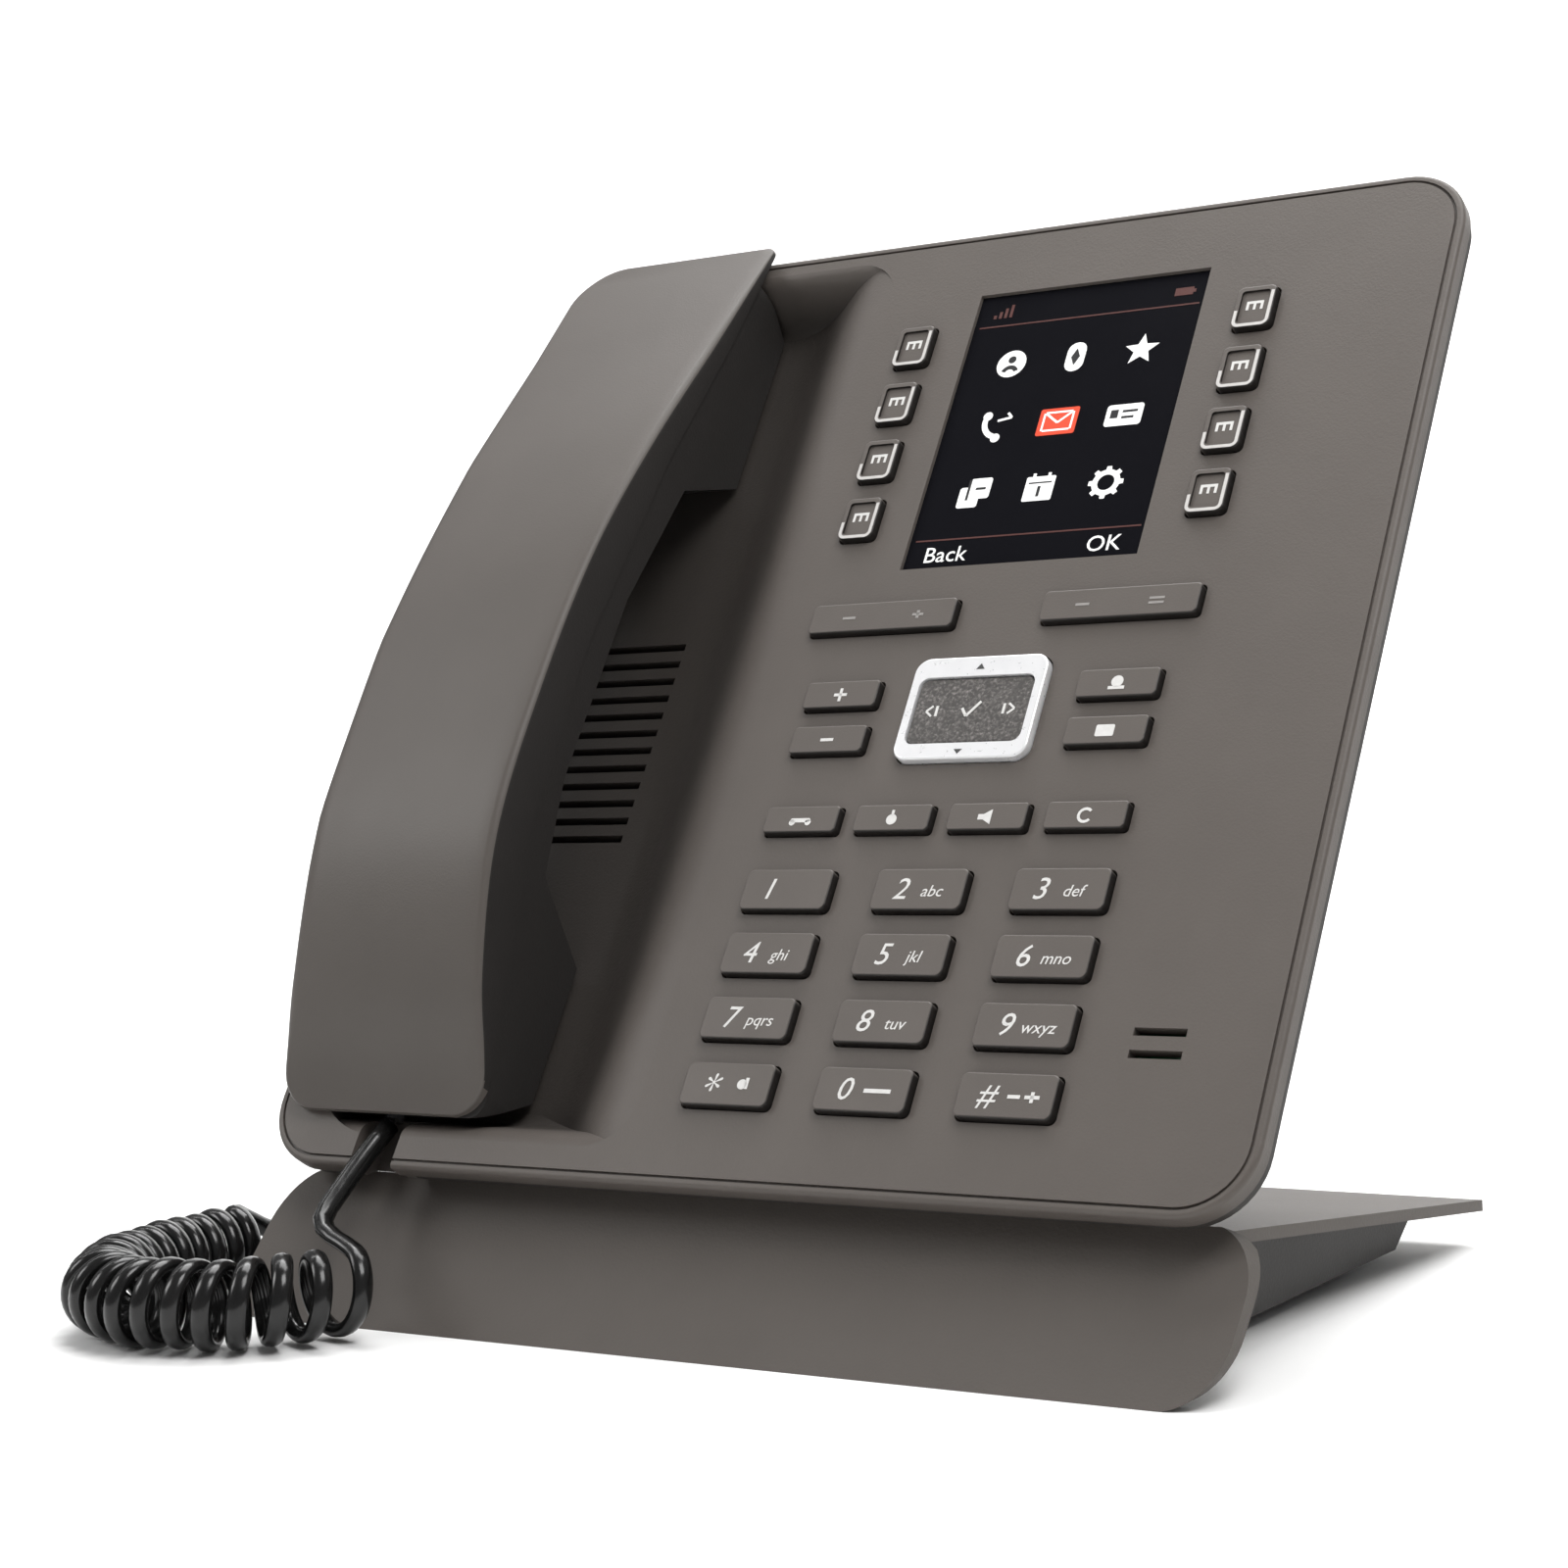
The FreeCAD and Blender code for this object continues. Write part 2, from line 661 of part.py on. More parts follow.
def base_outline(inset):
    under = plate_thick + seat
    front_y = inner_apron_y(plate_front[1] - plate_thick) + shell_gap + inset
    rear_low, rear_high = base_rear
    return [(base_front_y + inset, base_bottom + inset), (rear_low[0] - inset, base_bottom + inset),
            (rear_high[0] - inset, plate_z(rear_high[0]) - under), (front_y, plate_z(front_y) - under)]


def make_stand_base():
    body = span_x(base_outline(0.0), base_half)
    hollow = base_outline(base_wall)
    lifted = [(y, z if index < 2 else z + plate_thick + 1.0) for index, (y, z) in enumerate(hollow)]
    body = body.cut(span_x(lifted, base_half - base_wall))
    tools = []
    for at in stand_screw_at:
        floor = (base_bottom - 1, base_bottom + base_wall + 1)
        tools.append(upright(at, screw_radius + fit_gap, floor))
        tools.append(upright(at, head_radius + fit_gap, (base_bottom - 1, base_bottom + head_height)))
    for at in foot_at:
        tools.append(upright(at, foot_radius + fit_gap / 2, (base_bottom - 1, base_bottom + foot_sink)))
    tools.append(socket_box(fit_gap, (-base_half - 1, -base_half + base_wall + 1)))
    return cut_all(body, tools)


def make_rubber_feet():
    feet = []
    for at in foot_at:
        foot = upright(at, foot_radius, (0.0, base_bottom + foot_sink - seat))
        feet.append(foot.makeFillet(0.5, [edge for edge in foot.Edges if edge.BoundBox.ZMax < 1e-3]))
    return Part.makeCompound(feet)


def make_stand_screws():
    screws = []
    for at in stand_screw_at:
        base = base_bottom + head_height
        tip = min(base + screw_length, plate_z(at[1]) - plate_thick - 1.5)
        head = upright(at, head_radius, (base_bottom + seat, base))
        screws.append(upright(at, screw_radius, (base, tip)).fuse(head).removeSplitter())
    return Part.makeCompound(screws)


def rear_point(s, out):
    point = row_point(0, s, -housing_depth - out)
    return (point.y, point.z)


def make_stand_bracket():
    low, high = bracket_s
    outline = [(bracket_y[0], plate_z(bracket_y[0]) + seat), (bracket_y[1], plate_z(bracket_y[1]) + seat),
               rear_point(high, seat), rear_point(low, seat)]
    bracket = span_x(outline, bracket_half)
    inner = [(bracket_y[0] + 6.0, plate_z(bracket_y[0]) - 1.0), (bracket_y[1] - 4.0, plate_z(bracket_y[1]) - 1.0),
             rear_point(high - 6.0, bracket_wall), rear_point(low + 2.0, bracket_wall)]
    return bracket.cut(span_x(inner, bracket_half - bracket_wall))


# --- sockets -----------------------------------------------------------------------------------

def make_network_jacks():
    jacks = []
    for at in network_at:
        body = centred(at, network_size, (-housing_depth + 0.3, -board_top - board_thick - seat))
        hollow = centred(at, network_hole, (-housing_depth - 1, -housing_depth + 11.5))
        jacks.append(body.cut(hollow))
    return Part.makeCompound(jacks)


def make_power_jack():
    body = centred(power_at, power_size, (-housing_depth + 0.3, -board_top - board_thick - seat))
    body = body.cut(rod(power_at, power_hole, (-housing_depth - 1, -housing_depth + 10.0)))
    return body.fuse(rod(power_at, 1.0, (-housing_depth + 1.5, -housing_depth + 10.5)))


def socket_box(grow, x):
    half_y = plug_size[0] / 2 + plug_gap + 1.4 + grow
    half_z = plug_size[1] / 2 + plug_gap + 1.0 + grow
    return Part.makeBox(x[1] - x[0], 2 * half_y, 2 * half_z, Vector(x[0], socket_y - half_y, socket_z - half_z))


def make_handset_socket():
    block = socket_box(0.0, (-base_half + 0.2, -base_half + 16.0))
    inner = Part.makeBox(plug_length + 1, plug_size[0] + 2 * plug_gap, plug_size[1] + 2 * plug_gap,
                         Vector(-base_half - 1, socket_y - plug_size[0] / 2 - plug_gap,
                                socket_z - plug_size[1] / 2 - plug_gap))
    return block.cut(inner)


def make_base_plug():
    nose = -base_half - 1.0
    body = Part.makeBox(plug_length, plug_size[0], plug_size[1],
                        Vector(nose, socket_y - plug_size[0] / 2, socket_z - plug_size[1] / 2))
    stub = Part.makeCylinder(stub_radius, stub_length + 8, Vector(nose - stub_length - 7, socket_y, socket_z),
                             Vector(1, 0, 0))
    return body.fuse(stub).removeSplitter()


# --- cord --------------------------------------------------------------------------------------

handset_exit = row_point(jack_x, plug_nose_s - stub_length - 0.9, jack_h)
base_exit = Vector(-base_half - 1.0 - stub_length - 7.0 - seat, socket_y, socket_z)

handset_route = [handset_exit, Vector(-70.9, -52.6, 28.2), Vector(-70.2, -62.4, 22.0),
                 Vector(-68.6, -72.0, 16.4), Vector(-65.2, -78.6, 11.5)]
coil_route = [Vector(-60.0, -77.5, coil_radius), Vector(-76.0, -88.0, coil_radius),
              Vector(-93.0, -93.0, coil_radius), Vector(-107.0, -84.0, coil_radius),
              Vector(-111.0, -66.0, coil_radius), Vector(-109.0, -48.0, coil_radius)]
base_route = [Vector(-109.0, -48.0, coil_radius), Vector(-107.6, -34.0, 6.4), Vector(-104.4, -21.5, 5.6),
              Vector(-98.5, -11.5, 7.4), base_exit]


def arc_radius(before, corner, after):
    turn = (corner - before).getAngle(after - corner)
    run = min((corner - before).Length, (after - corner).Length)
    return 0.45 * run / math.tan(turn / 2)


def routed_tube(name, route, radius):
    # straight runs joined by tangent arcs, swept with a round section
    edges = []
    start = route[0]
    for before, corner, after in zip(route, route[1:], route[2:]):
        bend = arc_radius(before, corner, after)
        into = (corner - before).normalize()
        away = (after - corner).normalize()
        reach = bend * math.tan(into.getAngle(away) / 2)
        enter = corner - into * reach
        leave = corner + away * reach
        inward = (away - into).normalize()
        apex_distance = bend / math.cos(into.getAngle(away) / 2) - bend
        edges.append(Part.LineSegment(start, enter).toShape())
        edges.append(Part.Arc(enter, corner + inward * apex_distance, leave).toShape())
        print("%s bend radius %.1f" % (name, bend))
        start = leave
    edges.append(Part.LineSegment(start, route[-1]).toShape())
    path = Part.Wire(edges)
    first = (route[1] - route[0]).normalize()
    section = Part.Wire(Part.Circle(route[0], first, radius).toShape())
    tube = path.makePipeShell([section], True, False)
    share = tube.Volume / (math.pi * radius ** 2 * path.Length)
    print("%s length %.1f, volume over section times length %.4f" % (name, path.Length, share))
    return tube


# --- build -------------------------------------------------------------------------------------

def build():
    keys = key_table()
    nodes = {
        "front_cover": make_front_cover(keys),
        "rear_housing": make_rear_housing(),
        "housing_screws": make_housing_screws(),
        "display_window": make_display_window(),
        "lcd_module": lcd_box(0.0),
        "keypad_mat": make_keypad_mat(keys),
        "main_board": make_main_board(),
        "loudspeaker": make_loudspeaker(),
        "nav_ring": make_nav_ring(),
        "nav_pad": make_nav_pad(),
        "nav_carrier": make_nav_carrier(),
        "hook_plunger": make_hook_plunger(),
        "handset_outer_shell": make_outer_shell(),
        "handset_inner_shell": make_inner_shell(),
        "receiver_capsule": make_receiver(),
        "microphone_capsule": make_microphone(),
        "handset_jack": make_handset_jack(),
        "handset_plug": make_handset_plug(),
        "network_jacks": make_network_jacks(),
        "power_jack": make_power_jack(),
    }
    for name, (at, size) in keys.items():
        nodes[name] = make_key(name, at, size)
    row_nodes = {name: to_row(shape) for name, shape in nodes.items()}
    row_nodes.update({
        "stand_shell": make_stand_shell(),
        "stand_base": make_stand_base(),
        "stand_bracket": make_stand_bracket(),
        "stand_screws": make_stand_screws(),
        "rubber_feet": make_rubber_feet(),
        "handset_socket": make_handset_socket(),
        "base_plug": make_base_plug(),
        "handset_lead": routed_tube("handset_lead", handset_route, cord_radius),
        "coil_cord": routed_tube("coil_cord", coil_route, coil_radius),
        "base_lead": routed_tube("base_lead", base_route, cord_radius),
    })
    return row_nodes


os.makedirs("parts", exist_ok=True)
for node, shape in build().items():
    solids = shape.Solids
    print("%-22s solids %d valid %s volume %.1f" % (node, len(solids), shape.isValid(), shape.Volume))
    kept = solids[0] if len(solids) == 1 else Part.makeCompound(solids)
    kept.exportStep("parts/%s.step" % node)
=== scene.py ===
import bpy
import bmesh
import json
import math
from mathutils import Matrix, Vector


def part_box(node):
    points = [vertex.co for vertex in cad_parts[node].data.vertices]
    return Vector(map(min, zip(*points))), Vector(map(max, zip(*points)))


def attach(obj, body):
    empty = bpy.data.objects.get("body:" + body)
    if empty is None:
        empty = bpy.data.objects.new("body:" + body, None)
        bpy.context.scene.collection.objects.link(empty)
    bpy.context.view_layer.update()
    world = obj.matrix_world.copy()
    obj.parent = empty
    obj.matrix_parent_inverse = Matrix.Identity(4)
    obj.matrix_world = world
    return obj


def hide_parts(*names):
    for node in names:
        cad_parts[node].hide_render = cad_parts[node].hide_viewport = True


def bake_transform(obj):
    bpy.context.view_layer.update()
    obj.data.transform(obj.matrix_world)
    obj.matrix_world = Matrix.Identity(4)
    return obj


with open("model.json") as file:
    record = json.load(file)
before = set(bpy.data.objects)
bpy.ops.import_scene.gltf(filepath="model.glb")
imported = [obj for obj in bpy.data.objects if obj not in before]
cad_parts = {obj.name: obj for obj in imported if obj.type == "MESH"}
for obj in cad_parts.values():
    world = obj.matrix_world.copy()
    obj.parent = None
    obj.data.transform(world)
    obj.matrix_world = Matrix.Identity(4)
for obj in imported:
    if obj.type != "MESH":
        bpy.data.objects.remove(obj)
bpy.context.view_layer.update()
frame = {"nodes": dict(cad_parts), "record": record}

nodes = frame["nodes"]
bodyOf = {node: body for body, members in frame["record"]["behaviour"]["bodies"].items() for node in members}
print("frame loaded:", len(nodes), "nodes")

mm = 0.001

# the tilted face: x across, s up the face from its bottom edge, h out of it, all in mm
face = {
    "tilt": math.radians(56.5),
    "foot": (0.0, -53.5, 25.5),
    "axisX": 26.65,
    "displayS": 149.6,
    "keyTop": 1.4,
    "lineKeySink": 0.5,  # the lamp floor of a line key lies this far under its top
    "padSink": 0.3,
    "inkGap": 0.01,
}
faceUp = Vector((0, math.cos(face["tilt"]), math.sin(face["tilt"])))
faceOut = Vector((0, -math.sin(face["tilt"]), math.cos(face["tilt"])))


def facePoint(x, s, h):
    return (Vector(face["foot"]) + Vector((x, 0, 0)) + faceUp * s + faceOut * h) * mm


def faceMatrix(x, s, h):
    turn = Matrix((Vector((1, 0, 0)), faceUp, faceOut)).transposed().to_4x4()
    return Matrix.Translation(facePoint(x, s, h)) @ turn


class Socket:
    # wraps an output socket so that maths can be written as expressions
    def __init__(self, mat, socket):
        self.mat = mat
        self.socket = socket

    def maths(self, operation, first, second):
        node = self.mat.node("ShaderNodeMath", {"operation": operation}, {0: first, 1: second})
        return Socket(self.mat, node.outputs[0])

    def __add__(self, other):
        return self.maths("ADD", self, other)

    def __radd__(self, other):
        return self.maths("ADD", other, self)

    def __sub__(self, other):
        return self.maths("SUBTRACT", self, other)

    def __rsub__(self, other):
        return self.maths("SUBTRACT", other, self)

    def __mul__(self, other):
        return self.maths("MULTIPLY", self, other)

    def __rmul__(self, other):
        return self.maths("MULTIPLY", other, self)

    def __truediv__(self, other):
        return self.maths("DIVIDE", self, other)

    def __rtruediv__(self, other):
        return self.maths("DIVIDE", other, self)

    def clamped(self):
        node = self.mat.node("ShaderNodeClamp", {}, {0: self})
        return Socket(self.mat, node.outputs[0])


class Finish:
    # one procedural material
    def __init__(self, name, color, roughness, **fixed):
        self.material = bpy.data.materials.new(name)
        self.material.use_nodes = True
        self.tree = self.material.node_tree
        self.shader = self.tree.nodes["Principled BSDF"]
        self.shader.inputs["Base Color"].default_value = (*color, 1)
        self.shader.inputs["Roughness"].default_value = roughness
        self.material.diffuse_color = (*color, 1)
        for key, value in fixed.items():
            self.shader.inputs[key.replace("_", " ")].default_value = value

    def node(self, kind, settings, sockets):
        made = self.tree.nodes.new(kind)
        for key, value in settings.items():
            setattr(made, key, value)
        for key, value in sockets.items():
            self.feed(made.inputs[key], value)
        return made

    def feed(self, target, value):
        if isinstance(value, Socket):
            self.tree.links.new(value.socket, target)
        else:
            target.default_value = value

    def result(self, made, key=0):
        return Socket(self, made.outputs[key])

    def place(self):
        return self.result(self.node("ShaderNodeTexCoord", {}, {}), "Object")

    def noise(self, scale, detail, roughness):
        made = self.node("ShaderNodeTexNoise", {}, {"Scale": scale, "Detail": detail, "Roughness": roughness,
                                                    "Vector": self.place()})
        return self.result(made, "Fac")

    def cells(self, scale):
        made = self.node("ShaderNodeTexVoronoi", {}, {"Scale": scale, "Vector": self.place()})
        return self.result(made, "Distance")

    def between(self, factor, low, high):
        ends = [end if isinstance(end, Socket) else (*end, 1) for end in (low, high)]
        made = self.node("ShaderNodeMix", {"data_type": "RGBA"}, {0: factor, 6: ends[0], 7: ends[1]})
        return self.result(made, 2)

    def depth(self):
        # how far a point lies behind the tilted face, in metres, in the object's own space
        foot = Vector(face["foot"]) * mm
        made = self.node("ShaderNodeVectorMath", {"operation": "DOT_PRODUCT"}, {0: self.place(), 1: tuple(faceOut)})
        return foot.dot(faceOut) - self.result(made, "Value")

    def facing(self, direction):
        normal = self.result(self.node("ShaderNodeNewGeometry", {}, {}), "Normal")
        made = self.node("ShaderNodeVectorMath", {"operation": "DOT_PRODUCT"}, {0: normal, 1: tuple(direction)})
        return self.result(made, "Value")

    def bump(self, height, strength, distance):
        made = self.node("ShaderNodeBump", {}, {"Height": height, "Strength": strength, "Distance": distance})
        self.feed(self.shader.inputs["Normal"], self.result(made))

    def set(self, key, value):
        self.feed(self.shader.inputs[key], value)


def shaded(color, factor):
    return tuple(min(channel * factor, 1.0) for channel in color)


def mouldedPlastic(name, look):
    # spark-eroded plastic: fine grain in the relief, faint mottling and handling marks in colour and gloss
    finish = Finish(name, look["color"], look["roughness"], Specular_IOR_Level=0.32)
    mottle = finish.noise(look["mottle"], 4.0, 0.6)
    grain = finish.noise(look["grain"], 2.0, 0.7)
    pits = finish.cells(look["grain"] * 0.7)
    wiped = finish.noise(look["mottle"] * 0.3, 5.0, 0.65)
    skin = finish.between((mottle * 0.7 + grain * 0.3).clamped(), shaded(look["color"], 0.88),
                          shaded(look["color"], 1.13))
    if "flanks" in look:
        # painted shade: the key sides that face down and to the right are drawn darker than they are lit
        lean = finish.facing((Vector((1, 0, 0)) - faceUp).normalized())
        skin = finish.between((lean * 2.2 - 0.1).clamped(), skin, look["flanks"])
    if "recess" in look:
        # painted shade: the cover darkens with depth in the hollow under the handset
        shade = ((finish.depth() - look["recessStart"]) / look["recess"]).clamped()
        skin = finish.between(shade, skin, shaded(look["color"], look["recessShade"]))
    finish.set("Base Color", skin)
    finish.set("Roughness", (wiped - 0.5) * 0.16 + (grain - 0.5) * 0.1 + look["roughness"])
    finish.bump(grain * 0.6 + pits * 0.4, look["relief"], 0.00012)
    return finish.material


plastics = {
    "cover": {"color": (0.100, 0.087, 0.078), "roughness": 0.48, "mottle": 60.0, "grain": 2600.0, "relief": 0.35,
              "recess": 0.009, "recessStart": 0.001, "recessShade": 0.4},
    "handset": {"color": (0.094, 0.083, 0.075), "roughness": 0.45, "mottle": 45.0, "grain": 3200.0, "relief": 0.2},
    "keys": {"color": (0.106, 0.093, 0.084), "roughness": 0.45, "mottle": 90.0, "grain": 3400.0, "relief": 0.2,
             "flanks": (0.014, 0.012, 0.011)},
    "stand": {"color": (0.088, 0.077, 0.069), "roughness": 0.62, "mottle": 50.0, "grain": 2400.0, "relief": 0.4},
    "housing": {"color": (0.030, 0.027, 0.025), "roughness": 0.55, "mottle": 50.0, "grain": 2200.0, "relief": 0.5},
    # the handset's inner-shell plastic, which is also used as painted shade on the outer shell's right-hand side
    "handsetInnerAndShadedSide": {"color": (0.022, 0.020, 0.019), "roughness": 0.5, "mottle": 60.0, "grain": 2600.0, "relief": 0.3},
    "insideParts": {"color": (0.02, 0.02, 0.021), "roughness": 0.5, "mottle": 80.0, "grain": 2000.0, "relief": 0.3},
}
finishes = {name: mouldedPlastic(name, look) for name, look in plastics.items()}


def satinSilver():
    finish = Finish("satinSilver", (0.86, 0.86, 0.87), 0.3, Metallic=0.35)
    streak = finish.noise(900.0, 3.0, 0.6)
    soft = finish.noise(120.0, 3.0, 0.5)
    finish.set("Base Color", finish.between(soft, (0.80, 0.80, 0.81), (0.93, 0.93, 0.94)))
    finish.set("Roughness", streak * 0.16 + 0.22)
    finish.bump(streak, 0.06, 0.00005)
    return finish.material


def speckledPad():
    finish = Finish("speckledPad", (0.10, 0.095, 0.09), 0.5)
    flecks = finish.cells(1500.0)
    grain = finish.noise(1800.0, 2.0, 0.6)
    finish.set("Base Color", finish.between((grain - 0.42) * 4.0 * (1.0 - flecks), (0.05, 0.046, 0.043),
                                            (0.24, 0.22, 0.21)))
    finish.set("Roughness", grain * 0.3 + 0.35)
    finish.bump(flecks + grain * 0.5, 0.5, 0.0001)
    return finish.material


def displayGlass():
    finish = Finish("displayGlass", (0.004, 0.004, 0.005), 0.2, Specular_IOR_Level=0.07)
    dust = finish.noise(2500.0, 3.0, 0.7)
    smear = finish.noise(35.0, 5.0, 0.6)
    finish.set("Base Color", finish.between((dust - 0.62) * 2.0, (0.005, 0.005, 0.007), (0.02, 0.02, 0.022)))
    finish.set("Roughness", smear * 0.16 + 0.16)
    finish.bump(smear, 0.02, 0.00005)
    return finish.material


def litInk(name, color, strength):
    # a glowing shape on the display
    finish = Finish(name, color, 0.4, Emission_Strength=strength)
    flicker = finish.noise(1200.0, 2.0, 0.5)
    finish.set("Emission Color", finish.between(flicker, shaded(color, 0.85), color))
    finish.set("Base Color", finish.between(flicker, shaded(color, 0.8), color))
    return finish.material


def printedInk(name, color):
    finish = Finish(name, color, 0.55)
    wear = finish.noise(700.0, 4.0, 0.6)
    finish.set("Base Color", finish.between(wear, shaded(color, 0.78), shaded(color, 1.04)))
    finish.set("Roughness", wear * 0.2 + 0.42)
    finish.bump(wear, 0.1, 0.00003)
    return finish.material


def cordSkin():
    finish = Finish("cordSkin", (0.008, 0.008, 0.008), 0.2, Specular_IOR_Level=0.42)
    scuff = finish.noise(420.0, 4.0, 0.65)
    dust = finish.noise(90.0, 3.0, 0.6)
    finish.set("Base Color", finish.between((dust - 0.5) * 1.6, (0.006, 0.006, 0.006), (0.022, 0.021, 0.020)))
    finish.set("Roughness", scuff * 0.26 + 0.08)
    finish.bump(scuff, 0.12, 0.00008)
    return finish.material


def clearPlug():
    finish = Finish("clearPlug", (0.02, 0.02, 0.021), 0.18, Coat_Weight=0.5)
    cloud = finish.noise(300.0, 3.0, 0.6)
    finish.set("Base Color", finish.between(cloud, (0.014, 0.014, 0.015), (0.04, 0.04, 0.042)))
    finish.set("Roughness", cloud * 0.2 + 0.1)
    return finish.material


def softRubber(name, color):
    finish = Finish(name, color, 0.8)
    grain = finish.noise(1500.0, 4.0, 0.7)
    dust = finish.noise(70.0, 4.0, 0.6)
    finish.set("Base Color", finish.between(dust, shaded(color, 0.8), shaded(color, 1.4)))
    finish.set("Roughness", grain * 0.25 + 0.65)
    finish.bump(grain, 0.5, 0.0002)
    return finish.material


def platedSteel():
    finish = Finish("platedSteel", (0.55, 0.55, 0.56), 0.3, Metallic=1.0)
    brushed = finish.noise(1600.0, 3.0, 0.6)
    stain = finish.noise(240.0, 3.0, 0.6)
    finish.set("Base Color", finish.between(stain, (0.42, 0.42, 0.43), (0.62, 0.62, 0.63)))
    finish.set("Roughness", brushed * 0.3 + 0.2)
    finish.bump(brushed, 0.15, 0.00005)
    return finish.material


def circuitBoard():
    finish = Finish("circuitBoard", (0.02, 0.13, 0.05), 0.4)
    tracks = finish.cells(260.0)
    weave = finish.noise(1500.0, 2.0, 0.5)
    finish.set("Base Color", finish.between((tracks - 0.35) * 5.0, (0.012, 0.09, 0.035), (0.03, 0.17, 0.07)))
    finish.set("Roughness", weave * 0.2 + 0.3)
    finish.bump(tracks, 0.2, 0.00008)
    return finish.material


finishes.update({
    "silver": satinSilver(),
    "pad": speckledPad(),
    "glass": displayGlass(),
    "cord": cordSkin(),
    "plug": clearPlug(),
    "rubber": softRubber("footRubber", (0.02, 0.02, 0.02)),
    "silicone": softRubber("matSilicone", (0.33, 0.33, 0.34)),
    "steel": platedSteel(),
    "board": circuitBoard(),
    "ink": printedInk("legendInk", (0.72, 0.71, 0.69)),
    "dimInk": printedInk("dimInk", (0.30, 0.285, 0.27)),
    # painted highlight: the light strip along the line keys' rims
    "rim": printedInk("paintedRimHighlight", (0.60, 0.58, 0.56)),
    "darkInk": printedInk("darkInk", (0.05, 0.05, 0.05)),
    "screenWhite": litInk("screenWhite", (0.80, 0.80, 0.79), 0.5),
    "screenRed": litInk("screenRed", (0.52, 0.045, 0.014), 0.75),
    "screenDark": litInk("screenDark", (0.01, 0.01, 0.012), 0.0),
    "screenLine": litInk("screenLine", (0.075, 0.02, 0.016), 0.3),
})

slotFinish = {
    "cover": "cover", "housing": "housing", "handset": "handset", "handset_inner": "handsetInnerAndShadedSide", "stand": "stand",
    "keys": "keys", "silver_ring": "silver", "nav_pad": "pad", "window": "glass", "lcd": "screenDark",
    "silicone": "silicone", "circuit_board": "board", "inner_parts": "insideParts", "steel": "steel",
    "rubber": "rubber", "plug": "plug", "cord": "cord",
}
slotOf = {part["node"]: part["material_slot"] for part in frame["record"]["subparts"]}
for name, node in nodes.items():
    node.data.materials.clear()
    node.data.materials.append(finishes[slotFinish[slotOf[name]]])
print("finishes set")


def addPiece(name, mesh, finish, body, matrix=None):
    piece = bpy.data.objects.new(name, mesh)
    bpy.context.scene.collection.objects.link(piece)
    if matrix is not None:
        piece.matrix_world = matrix
    if not mesh.materials:
        mesh.materials.append(finishes[finish])
    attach(piece, body)
    return piece


def plates(name, groups, matrix, body, thick=0.05):
    # thin raised shapes: groups is a list of (finish, [outlines]), each outline a list of (x, s) in mm
    mesh = bpy.data.meshes.new(name)
    build = bmesh.new()
    for index, (finish, outlines) in enumerate(groups):
        mesh.materials.append(finishes[finish])
        lift = thick * (index + 1) * mm
        for outline in outlines:
            top = [build.verts.new((x * mm, s * mm, lift)) for x, s in outline]
            low = [build.verts.new((x * mm, s * mm, -0.02 * mm)) for x, s in outline]
            faces = [build.faces.new(top), build.faces.new(low[::-1])]
            count = len(outline)
            for at in range(count):
                after = (at + 1) % count
                faces.append(build.faces.new((top[at], low[at], low[after], top[after])))
            for made in faces:
                made.material_index = index
    bmesh.ops.recalc_face_normals(build, faces=build.faces)
    build.to_mesh(mesh)
    build.free()
    return addPiece(name, mesh, None, body, matrix)


def bar(x0, x1, s0, s1):
    return [(x0, s0), (x1, s0), (x1, s1), (x0, s1)]


def roundedBar(x0, x1, s0, s1, radius, steps=4):
    outline = []
    for cx, cs, start in ((x1 - radius, s1 - radius, 0), (x0 + radius, s1 - radius, 90),
                          (x0 + radius, s0 + radius, 180), (x1 - radius, s0 + radius, 270)):
        for step in range(steps + 1):
            angle = math.radians(start + 90 * step / steps)
            outline.append((cx + radius * math.cos(angle), cs + radius * math.sin(angle)))
    return outline


def disc(cx, cs, radius, steps=24):
    return [(cx + radius * math.cos(2 * math.pi * i / steps), cs + radius * math.sin(2 * math.pi * i / steps))
            for i in range(steps)]


def band(cx, cs, radius, width, start, end, steps=12):
    # a curved strip
    outer = []
    inner = []
    for step in range(steps + 1):
        angle = math.radians(start + (end - start) * step / steps)
        outer.append((cx + (radius + width / 2) * math.cos(angle), cs + (radius + width / 2) * math.sin(angle)))
        inner.append((cx + (radius - width / 2) * math.cos(angle), cs + (radius - width / 2) * math.sin(angle)))
    return outer + inner[::-1]


def strokes(points, width):
    # one bar for each leg of a line
    made = []
    for (x0, s0), (x1, s1) in zip(points, points[1:]):
        length = math.hypot(x1 - x0, s1 - s0)
        nx = -(s1 - s0) / length * width / 2
        ns = (x1 - x0) / length * width / 2
        made.append([(x0 + nx, s0 + ns), (x0 - nx, s0 - ns), (x1 - nx, s1 - ns), (x1 + nx, s1 + ns)])
    return made


def lettering(name, text, size, matrix, finish, body, shear=0.0):
    data = bpy.data.curves.new(name, "FONT")
    data.body = text
    data.size = size * mm
    data.align_x = "CENTER"
    data.align_y = "CENTER"
    data.extrude = 0.03 * mm
    data.shear = shear
    data.resolution_u = 3
    data.materials.append(finishes[finish])
    piece = bpy.data.objects.new(name, data)
    bpy.context.scene.collection.objects.link(piece)
    piece.matrix_world = matrix
    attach(piece, body)
    return piece


